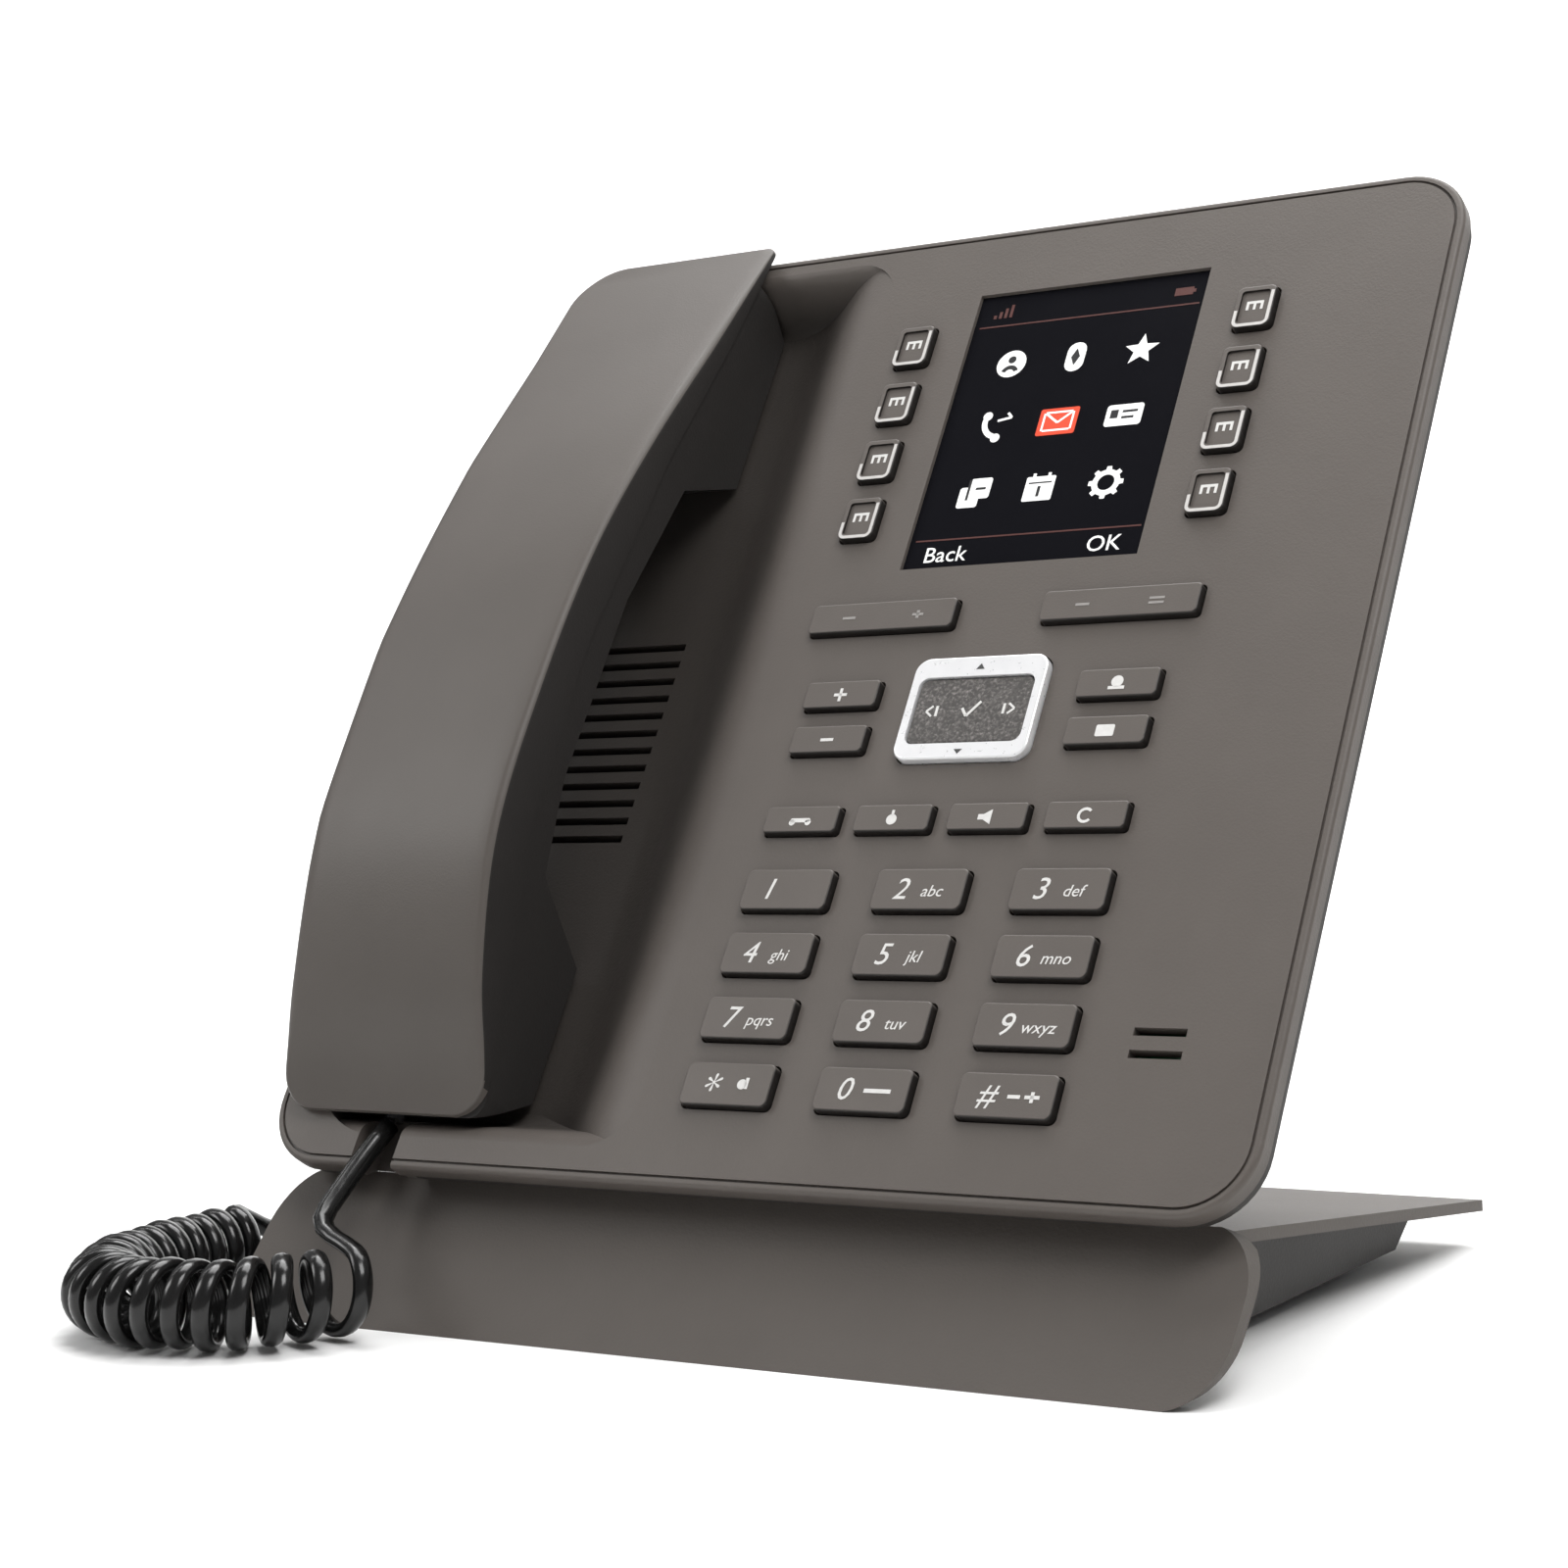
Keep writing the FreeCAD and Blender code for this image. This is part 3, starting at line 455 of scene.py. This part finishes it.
# what is printed on the keys, in mm from each key's middle
legends = {
    "digitSize": 5.6, "letterSize": 3.0, "digitX": -3.4, "letterX": 2.6, "letterDrop": -0.3, "shear": 0.22,
    "starSize": 5.6 * 1.3, "starDrop": -1.1,
    "keys": {"key_1": ("1", ""), "key_2": ("2", "abc"), "key_3": ("3", "def"), "key_4": ("4", "ghi"),
             "key_5": ("5", "jkl"), "key_6": ("6", "mno"), "key_7": ("7", "pqrs"), "key_8": ("8", "tuv"),
             "key_9": ("9", "wxyz"), "key_star": ("*", ""), "key_0": ("0", ""), "key_hash": ("#", "")},
}


def keyCentre(node):
    low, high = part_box(node)
    middle = (low + high) / 2 / mm - Vector(face["foot"])
    return middle.x, middle.dot(faceUp)


def onKey(node, dx=0.0, ds=0.0, h=None):
    x, s = keyCentre(node)
    return faceMatrix(x + dx, s + ds, face["keyTop"] + face["inkGap"] if h is None else h)


def addLegends():
    for node, (digit, letters) in legends["keys"].items():
        body = bodyOf[node]
        size, drop = (legends["starSize"], legends["starDrop"]) if digit == "*" else (legends["digitSize"], 0.0)
        lettering(node + "_digit", digit, size, onKey(node, legends["digitX"], drop), "ink", body,
                  legends["shear"])
        if letters:
            at = onKey(node, legends["letterX"], legends["letterDrop"])
            lettering(node + "_letters", letters, legends["letterSize"], at, "ink", body, legends["shear"])
    small = {
        "key_star": [disc(3.0, 0.2, 0.9), bar(3.6, 4.2, -0.6, 1.4)],
        "key_0": [bar(0.4, 5.4, -0.35, 0.35)],
        "key_hash": [bar(0.4, 2.6, -0.3, 0.3), bar(3.4, 6.0, -0.3, 0.3), bar(4.4, 5.0, -0.9, 0.9)],
        "volume_up_key": [bar(-1.3, 1.3, -0.28, 0.28), bar(-0.28, 0.28, -1.3, 1.3)],
        "volume_down_key": [bar(-1.3, 1.3, -0.28, 0.28)],
        "message_key": [disc(0, 0.3, 1.1), bar(-1.5, 1.5, -1.2, -0.6)],
        "headset_key": [roundedBar(-1.7, 1.7, -1.1, 1.1, 0.3)],
        "function_key_1": [roundedBar(-2.0, 2.0, -0.5, 0.3, 0.35), disc(-1.6, -0.5, 0.6), disc(1.6, -0.5, 0.6)],
        "function_key_2": [disc(0, -0.2, 1.0), bar(-0.25, 0.25, 0.6, 1.6)],
        "function_key_3": [bar(-1.6, -0.5, -0.5, 0.5), [(-0.6, -0.5), (0.9, -1.4), (0.9, 1.4), (-0.6, 0.5)]],
        "function_key_4": [band(0, 0, 1.2, 0.5, 40, 320)],
        "soft_key_left": [bar(-8.0, -5.4, -0.25, 0.25), bar(6.4, 8.6, -0.25, 0.25), bar(7.2, 7.8, -0.8, 0.8)],
        "soft_key_right": [bar(-8.2, -5.6, -0.25, 0.25), bar(5.6, 8.4, 0.25, 0.7), bar(5.6, 8.4, -0.7, -0.25)],
    }
    for node, outlines in small.items():
        finish = "dimInk" if node.startswith("soft") else "ink"
        plates(node + "_mark", [(finish, outlines)], onKey(node), bodyOf[node])


def addLineKeyTrim():
    # painted highlight: a light strip round the foot and right of each line key, where its rim catches the light; and
    # a small lamp mark under its brow
    halfX, halfS = 3.45, 4.15
    corner, width = 1.3, 0.6
    for node in nodes:
        if not node.startswith("line_key"):
            continue
        rim = [bar(-halfX, -halfX + width, -halfS + corner, -0.6),
               bar(halfX - width, halfX, -halfS + corner, halfS - 0.9),
               bar(-halfX + corner, halfX - corner, -halfS, -halfS + width),
               band(-halfX + corner, -halfS + corner, corner - width / 2, width, 180, 270, 6),
               band(halfX - corner, -halfS + corner, corner - width / 2, width, 270, 360, 6)]
        plates(node + "_rim", [("rim", rim)], onKey(node), bodyOf[node])
        lamp = [bar(-1.6, 1.6, 1.0, 1.55), bar(-1.6, -1.1, -0.3, 1.0), bar(-0.25, 0.25, -0.3, 1.0),
                bar(1.1, 1.6, -0.3, 1.0)]
        lampAt = onKey(node, h=face["keyTop"] - face["lineKeySink"] + face["inkGap"])
        plates(node + "_lamp", [("ink", lamp)], lampAt, bodyOf[node])


def addNavMarks():
    ring = onKey("nav_ring")
    up = [[(-0.8, 7.6), (0.8, 7.6), (0, 8.7)]]
    down = [[(-0.8, -8.2), (0, -9.1), (0.8, -8.2)]]
    plates("nav_ring_marks", [("darkInk", up + down)], ring, bodyOf["nav_ring"])
    pad = onKey("nav_pad", h=face["keyTop"] - face["padSink"] + face["inkGap"])
    left = strokes([(-7.4, 1.0), (-8.6, 0.0), (-7.4, -1.0)], 0.4) + [bar(-6.8, -6.3, -1.0, 1.0)]
    right = strokes([(7.4, 1.0), (8.6, 0.0), (7.4, -1.0)], 0.4) + [bar(6.3, 6.8, -1.0, 1.0)]
    tick = strokes([(-1.6, 0.4), (-0.5, -1.2), (1.8, 1.6)], 0.5)
    plates("nav_pad_marks", [("ink", left + right + tick)], pad, bodyOf["nav_pad"])


addLegends()
addLineKeyTrim()
addNavMarks()
print("legends and marks made")


# the menu that the display shows, in mm from its middle
display = {
    "h": -0.8, "columns": (-13.2, 0.0, 13.2), "rows": (14.2, 0.0, -14.4), "half": (23.4, 30.4), "thick": 0.03,
    "labelSize": 4.6, "labelLift": 0.02, "labelUp": 3.0,
}


def starOutline(radius, inner):
    outline = []
    for index in range(10):
        reach = radius if index % 2 == 0 else inner
        angle = math.radians(90 + index * 36)
        outline.append((reach * math.cos(angle), reach * math.sin(angle)))
    return outline


def gearTeeth(radius):
    teeth = []
    for index in range(8):
        angle = math.radians(index * 45)
        ax, ay = math.cos(angle), math.sin(angle)
        corners = [(radius - 0.4, -0.6), (radius + 0.8, -0.45), (radius + 0.8, 0.45), (radius - 0.4, 0.6)]
        teeth.append([(r * ax - w * ay, r * ay + w * ax) for r, w in corners])
    return teeth


def moved(outlines, dx, ds):
    return [[(x + dx, s + ds) for x, s in outline] for outline in outlines]


def iconShapes():
    white, dark, red = "screenWhite", "screenDark", "screenRed"
    contact = [(white, [disc(0, 0, 3.0)]), (dark, [disc(0, 0.9, 0.8), band(0, -2.2, 1.4, 0.9, 20, 160)])]
    link = [(white, [roundedBar(-1.9, 1.9, -3.2, 3.2, 1.8)]),
            (dark, [[(0, 1.9), (-0.9, 0), (0, -1.9), (0.9, 0)]])]
    star = [(white, [starOutline(3.5, 1.5)])]
    calls = [(white, [band(1.6, 1.4, 3.6, 1.1, 150, 260), disc(-1.7, 2.6, 0.95), disc(1.0, -2.4, 0.95)]
              + strokes([(0.6, 1.4), (3.4, 1.9), (2.4, 3.0)], 0.5))]
    mail = [(red, [roundedBar(-3.9, 3.9, -2.9, 2.9, 0.4)]),
            (white, strokes([(-2.7, 1.9), (0, -0.3), (2.7, 1.9)], 0.45)
             + strokes([(-2.7, -1.9), (2.7, -1.9)], 0.4) + strokes([(-2.9, -1.9), (-2.9, 1.9)], 0.4)
             + strokes([(2.9, -1.9), (2.9, 1.9)], 0.4) + strokes([(-2.7, 2.0), (2.7, 2.0)], 0.4))]
    card = [(white, [roundedBar(-3.6, 3.6, -2.3, 2.3, 0.6)]),
            (dark, [bar(-2.7, -1.2, -0.6, 1.2), bar(-0.4, 2.6, 0.5, 1.0), bar(-0.4, 2.0, -0.8, -0.3)])]
    pages = [(white, [roundedBar(-3.0, 1.2, -3.0, 1.4, 0.5), roundedBar(-1.2, 3.2, -1.2, 3.2, 0.5)]),
             (dark, [bar(-1.5, -1.0, -1.4, 3.0), bar(0.2, 2.2, 0.7, 1.2)])]
    calendar = [(white, [roundedBar(-2.9, 2.9, -2.7, 2.5, 0.3), bar(-1.8, -1.2, 2.3, 3.2),
                         bar(1.2, 1.8, 2.3, 3.2)]),
                (dark, [bar(-0.3, 0.3, -1.8, 0.4), bar(-2.3, 2.3, 1.0, 1.3)])]
    gear = [(white, [band(0, 0, 2.2, 1.1, 0, 180), band(0, 0, 2.2, 1.1, 180, 360)] + gearTeeth(2.6))]
    return [[contact, link, star], [calls, mail, card], [pages, calendar, gear]]


def addScreen():
    x0, s0 = face["axisX"], face["displayS"]
    halfX, halfS = display["half"]
    for row, line in enumerate(iconShapes()):
        for column, groups in enumerate(line):
            at = faceMatrix(x0 + display["columns"][column], s0 + display["rows"][row], display["h"])
            plates("icon_%d_%d" % (row, column), groups, at, "root", display["thick"])
    base = faceMatrix(x0, s0, display["h"])
    bars = [bar(-halfX + 1, halfX - 1, halfS - 7.2, halfS - 6.9),
            bar(-halfX + 1, halfX - 1, -halfS + 6.2, -halfS + 6.5)]
    plates("screen_rules", [("screenLine", bars)], base, "root", display["thick"])
    signal = [bar(-20 + i * 1.1, -19.4 + i * 1.1, halfS - 5.2, halfS - 4.4 + i * 0.7) for i in range(4)]
    signal += [bar(17.0, 20.6, halfS - 4.9, halfS - 3.2), bar(20.6, 21.1, halfS - 4.4, halfS - 3.7)]
    plates("screen_status", [("screenLine", signal)], base, "root", display["thick"])
    for name, text, dx in (("left", "Back", -15.5), ("right", "OK", 16.0)):
        at = faceMatrix(x0 + dx, s0 - halfS + display["labelUp"], display["h"] + display["labelLift"])
        lettering("screen_label_" + name, text, display["labelSize"], at, "screenWhite", "root")


addScreen()
print("display drawn")


# the handset's back: crest is its height along the slab, parting is where the inner shell starts
handset = {
    "x": (-94.35, -47.35), "drop": 3.5, "leftRound": 8.0, "creaseRound": 1.5, "corners": (7.0, 7.0, 2.0, 10.0),
    "crest": [(9.6, 1.9), (16.0, 5.2), (30.0, 14.0), (53.6, 22.5), (82.0, 24.3), (112.0, 23.0), (139.6, 17.8),
              (172.6, 8.8), (197.6, 1.9)],
    "parting": [(9.6, 0.9), (30.0, 6.0), (60.0, 14.0), (96.0, 15.5), (140.0, 11.0), (170.0, 5.0), (197.6, 0.9)],
    "stations": 90, "across": 14, "gap": 0.02, "sag": 0.85, "chamfer": 0.1,
    "insetLeft": 0.4, "insetRight": 0.2,
    "edgeAngle": math.radians(38), "shadedSideFacing": 0.93,
# faces turned further to the right than shadedSideFacing get the painted shade
}


def smoothHeight(points, s):
    # cubic through the points, with slopes from their neighbours
    index = max(i for i in range(len(points) - 1) if s >= points[i][0] or i == 0)

    def slope(i):
        before = points[max(i - 1, 0)]
        after = points[min(i + 1, len(points) - 1)]
        return (after[1] - before[1]) / (after[0] - before[0])

    (s0, h0), (s1, h1) = points[index], points[index + 1]
    width = s1 - s0
    t = (s - s0) / width
    rise0, rise1 = slope(index) * width, slope(index + 1) * width
    return ((2 * t ** 3 - 3 * t ** 2 + 1) * h0 + (t ** 3 - 2 * t ** 2 + t) * rise0
            + (3 * t ** 2 - 2 * t ** 3) * h1 + (t ** 3 - t ** 2) * rise1)


def straightHeight(points, s):
    for (s0, h0), (s1, h1) in zip(points, points[1:]):
        if s <= s1:
            return h0 + (h1 - h0) * (s - s0) / (s1 - s0)
    return points[-1][1]


def cornerInset(s, sEnd, radius):
    reach = abs(s - sEnd)
    if reach >= radius:
        return 0.0
    return radius - math.sqrt(max(radius ** 2 - (radius - reach) ** 2, 0.0))


def handsetShell():
    low, high = handset["crest"][0][0], handset["crest"][-1][0]
    lowLeft, lowRight, highRight, highLeft = handset["corners"]
    count = handset["stations"]
    rings = []
    for station in range(count + 1):
        share = (1 - math.cos(math.pi * station / count)) / 2
        s = low + handset["gap"] + (high - low - 2 * handset["gap"]) * share
        left = handset["x"][0] + cornerInset(s, low, lowLeft) + cornerInset(s, high, highLeft)
        right = handset["x"][1] - cornerInset(s, low, lowRight) - cornerInset(s, high, highRight)
        top = smoothHeight(handset["crest"], s)
        bottom = straightHeight(handset["parting"], s) + handset["gap"]
        tall = top - bottom
        middle = (low + high) / 2
        drop = handset["drop"] * (1 - ((s - middle) / (middle - low)) ** 4)
        drop = min(drop, tall * 0.35)
        crease = min(handset["creaseRound"], tall * 0.3)
        soft = min(handset["leftRound"], (tall - drop) * 0.8)
        ring = [(left + handset["insetLeft"], bottom), (right - handset["insetRight"], bottom),
                (right, bottom + handset["chamfer"])]
        for step in range(5):
            angle = math.radians(90 * step / 4)
            ring.append((right - crease + crease * math.cos(angle), top - crease + crease * math.sin(angle)))
        for step in range(1, handset["across"]):
            part = step / handset["across"]
            x = right - crease - (right - crease - left - soft) * part
            sag = drop * (0.25 * part + 0.75 * part ** 2.4) * handset["sag"]
            ring.append((x, top - sag))
        edgeTop = top - drop * handset["sag"]
        for step in range(9):
            angle = math.radians(90 + 90 * step / 8)
            ring.append((left + soft + soft * math.cos(angle), edgeTop - soft + soft * math.sin(angle)))
        ring.append((left, bottom + handset["chamfer"]))
        rings.append([facePoint(x, s, h) for x, h in ring])
    mesh = bpy.data.meshes.new("handset_shell")
    build = bmesh.new()
    loops = [[build.verts.new(point) for point in ring] for ring in rings]
    size = len(loops[0])
    for before, after in zip(loops, loops[1:]):
        for at in range(size):
            nextAt = (at + 1) % size
            build.faces.new((before[at], before[nextAt], after[nextAt], after[at]))
    build.faces.new(loops[0][::-1])
    build.faces.new(loops[-1])
    bmesh.ops.recalc_face_normals(build, faces=build.faces)
    # painted shade: faces turned to the right, away from the lamps, get the darker inner-shell plastic to stand in for
    # the shade on that side
    sideways = Vector((1, 0, 0))
    for made in build.faces:
        made.smooth = True
        made.material_index = 1 if made.normal.dot(sideways) > handset["shadedSideFacing"] else 0
    build.to_mesh(mesh)
    build.free()
    mesh.materials.append(finishes["handset"])
    mesh.materials.append(finishes["handsetInnerAndShadedSide"])
    mesh.set_sharp_from_angle(angle=handset["edgeAngle"])
    piece = addPiece("handset_shell", mesh, "handset", bodyOf["handset_outer_shell"])
    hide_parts("handset_outer_shell")


handsetShell()
print("handset made")


# the cord's route: straight lead, coil and tail, in mm
cord = {
    "lead": [(-70.5, -47.2, 31.8), (-70.9, -52.6, 28.2), (-70.2, -61.4, 22.6), (-69.2, -69.0, 17.8)],
    "coil": [(-59.7, -71.0, 8.6), (-62.5, -80.0, 8.2), (-71.0, -88.0, 8.0), (-86.0, -92.5, 8.0),
             (-100.0, -89.5, 8.0), (-108.5, -78.0, 8.0), (-110.5, -63.0, 8.0), (-109.0, -48.0, 8.0)],
    "tail": [(-107.6, -34.0, 6.4), (-104.4, -21.5, 5.6), (-98.5, -11.5, 7.4), (-88.6, -8.0, 9.0)],
    "wide": 3.6, "thick": 2.5, "windingRadius": 6.6, "turns": 20, "perTurn": 12, "startAngle": 10.0,
    "loosening": 0.88, "sides": 12, "unevenness": 0.03, "wave": 0.37, "twistFollow": 0.35,
}


def splinePoints(name, points, resolution):
    # reads the points of a smooth curve that is led by the given points, in mm
    data = bpy.data.curves.new(name, "CURVE")
    data.dimensions = "3D"
    data.resolution_u = resolution
    spline = data.splines.new("NURBS")
    spline.points.add(len(points) - 1)
    for target, point in zip(spline.points, points):
        target.co = (*point, 1)
    spline.order_u = 3
    spline.use_endpoint_u = True
    holder = bpy.data.objects.new(name, data)
    mesh = bpy.data.meshes.new_from_object(holder)
    read = [Vector(vertex.co) for vertex in mesh.vertices]
    bpy.data.objects.remove(holder)
    bpy.data.meshes.remove(mesh)
    bpy.data.curves.remove(data)
    return read


def spaced(points, count, loosening):
    lengths = [0.0]
    for before, after in zip(points, points[1:]):
        lengths.append(lengths[-1] + (after - before).length)
    made = []
    at = 0
    for index in range(count):
        goal = lengths[-1] * (index / (count - 1)) ** loosening
        while at < len(points) - 2 and lengths[at + 1] < goal:
            at += 1
        share = (goal - lengths[at]) / max(lengths[at + 1] - lengths[at], 1e-9)
        made.append(points[at].lerp(points[at + 1], min(share, 1.0)))
    return made


def windings():
    total = cord["turns"] * cord["perTurn"]
    centres = spaced(splinePoints("coil_line", cord["coil"], 24), total + 1, cord["loosening"])
    up = Vector((0, 0, 1))
    made = []
    for index, centre in enumerate(centres):
        before = centres[max(index - 1, 0)]
        after = centres[min(index + 1, total)]
        ahead = (after - before).normalized()
        side = up.cross(ahead)
        angle = math.radians(cord["startAngle"]) + 2 * math.pi * index / cord["perTurn"]
        reach = cord["windingRadius"] * (1 + cord["unevenness"] * math.sin(index * cord["wave"]))
        made.append((centre + (up * math.cos(angle) + side * math.sin(angle)) * reach, ahead))
    return made


def sweepCord():
    coiled = windings()
    lead, tail = [[Vector(point) for point in cord[key]] for key in ("lead", "tail")]
    route = lead + [point for point, _ in coiled] + tail
    path = splinePoints("cord_line", route, 3)
    mesh = bpy.data.meshes.new("handset_cord")
    build = bmesh.new()
    loops = []
    flat = None
    for index, point in enumerate(path):
        ahead = (path[min(index + 1, len(path) - 1)] - path[max(index - 1, 0)]).normalized()
        wanted = min(coiled, key=lambda pair: (pair[0] - point).length_squared)[1]
        flat = wanted if flat is None else flat.lerp(wanted, cord["twistFollow"])
        wide = (flat - ahead * flat.dot(ahead)).normalized()
        thin = ahead.cross(wide)
        loop = []
        for side in range(cord["sides"]):
            angle = 2 * math.pi * side / cord["sides"]
            offset = wide * math.cos(angle) * cord["wide"] / 2 + thin * math.sin(angle) * cord["thick"] / 2
            loop.append(build.verts.new((point + offset) * mm))
        loops.append(loop)
    for before, after in zip(loops, loops[1:]):
        for at in range(cord["sides"]):
            nextAt = (at + 1) % cord["sides"]
            build.faces.new((before[at], before[nextAt], after[nextAt], after[at]))
    build.faces.new(loops[0][::-1])
    build.faces.new(loops[-1])
    bmesh.ops.recalc_face_normals(build, faces=build.faces)
    for made in build.faces:
        made.smooth = True
    build.to_mesh(mesh)
    build.free()
    piece = bpy.data.objects.new("handset_cord", mesh)
    bpy.context.scene.collection.objects.link(piece)
    mesh.materials.append(finishes["cord"])
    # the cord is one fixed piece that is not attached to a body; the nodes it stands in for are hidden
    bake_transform(piece)
    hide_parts("handset_lead", "coil_cord", "base_lead")


sweepCord()
print("cord made")


# soft shading on the nodes that stay as they are, with their edges kept
edgeAngle = math.radians(28)
for node in nodes.values():
    node.data.shade_smooth()
    node.data.set_sharp_from_angle(angle=edgeAngle)
print("edges softened")


# a floor that bends up into a wall, in metres
stage = {"half": 4.0, "back": 2.2, "rise": 3.0, "bend": 1.2, "color": (0.93, 0.93, 0.925)}


def addFloor():
    finish = Finish("floorPaint", stage["color"], 0.7)
    cloud = finish.noise(3.0, 3.0, 0.5)
    finish.set("Base Color", finish.between(cloud, shaded(stage["color"], 0.99), stage["color"]))
    profile = [(-stage["half"], 0.0), (stage["back"], 0.0)]
    for step in range(1, 13):
        angle = math.radians(90 * step / 12)
        profile.append((stage["back"] + stage["bend"] * math.sin(angle), stage["bend"] * (1 - math.cos(angle))))
    profile.append((stage["back"] + stage["bend"], stage["rise"]))
    mesh = bpy.data.meshes.new("floor")
    build = bmesh.new()
    pairs = [[build.verts.new((side * stage["half"], y, z)) for side in (-1, 1)] for y, z in profile]
    for before, after in zip(pairs, pairs[1:]):
        made = build.faces.new((before[0], before[1], after[1], after[0]))
        made.smooth = True
    build.to_mesh(mesh)
    build.free()
    mesh.materials.append(finish.material)
    floor = bpy.data.objects.new("floor", mesh)
    bpy.context.scene.collection.objects.link(floor)


def addLight(name, place, target, size, power):
    data = bpy.data.lights.new(name, "AREA")
    data.shape = "RECTANGLE"
    data.size, data.size_y = size
    data.energy = power
    lamp = bpy.data.objects.new(name, data)
    bpy.context.scene.collection.objects.link(lamp)
    lamp.location = place
    lamp.rotation_euler = (Vector(target) - Vector(place)).to_track_quat("-Z", "Y").to_euler()


lightTarget = (0, 0, 0.09)
worldStrength = 0.26
lights = {
    "overhead": {"place": (-0.15, 0.42, 1.25), "size": (1.0, 0.7), "power": 15.0},
    "frontLeft": {"place": (-1.15, -0.75, 0.95), "size": (0.6, 0.6), "power": 7.0},
    "topRight": {"place": (0.35, -0.16, 0.66), "size": (0.35, 0.35), "power": 3.4},
    "backdrop": {"place": (-1.0, 1.0, 2.4), "target": (-2.1, 3.2, 0.7), "size": (4.5, 0.8), "power": 210.0},
}


def addLights():
    for name, look in lights.items():
        addLight(name, look["place"], look.get("target", lightTarget), look["size"], look["power"])
    world = bpy.data.worlds.new("studio")
    world.use_nodes = True
    background = world.node_tree.nodes["Background"]
    background.inputs["Color"].default_value = (1, 1, 1, 1)
    background.inputs["Strength"].default_value = worldStrength
    bpy.context.scene.world = world
    bpy.context.scene.view_settings.view_transform = "Standard"


view = {
    "place": (0.2885, -0.4517, 0.1076), "right": (0.8295, 0.5564, -0.0489), "ahead": (-0.558, 0.829, -0.0361),
    "lens": 70.4, "sensor": 36.0, "nearest": 0.01,
}


def addCamera():
    data = bpy.data.cameras.new("camera")
    data.sensor_width = view["sensor"]
    data.lens = view["lens"]
    data.clip_start = view["nearest"]
    camera = bpy.data.objects.new("camera", data)
    bpy.context.scene.collection.objects.link(camera)
    right = Vector(view["right"]).normalized()
    ahead = Vector(view["ahead"]).normalized()
    up = right.cross(ahead).normalized()
    right = ahead.cross(up)
    camera.matrix_world = Matrix.Translation(view["place"]) @ Matrix((right, up, -ahead)).transposed().to_4x4()
    bpy.context.scene.camera = camera


addFloor()
addLights()
addCamera()
print("stage set")
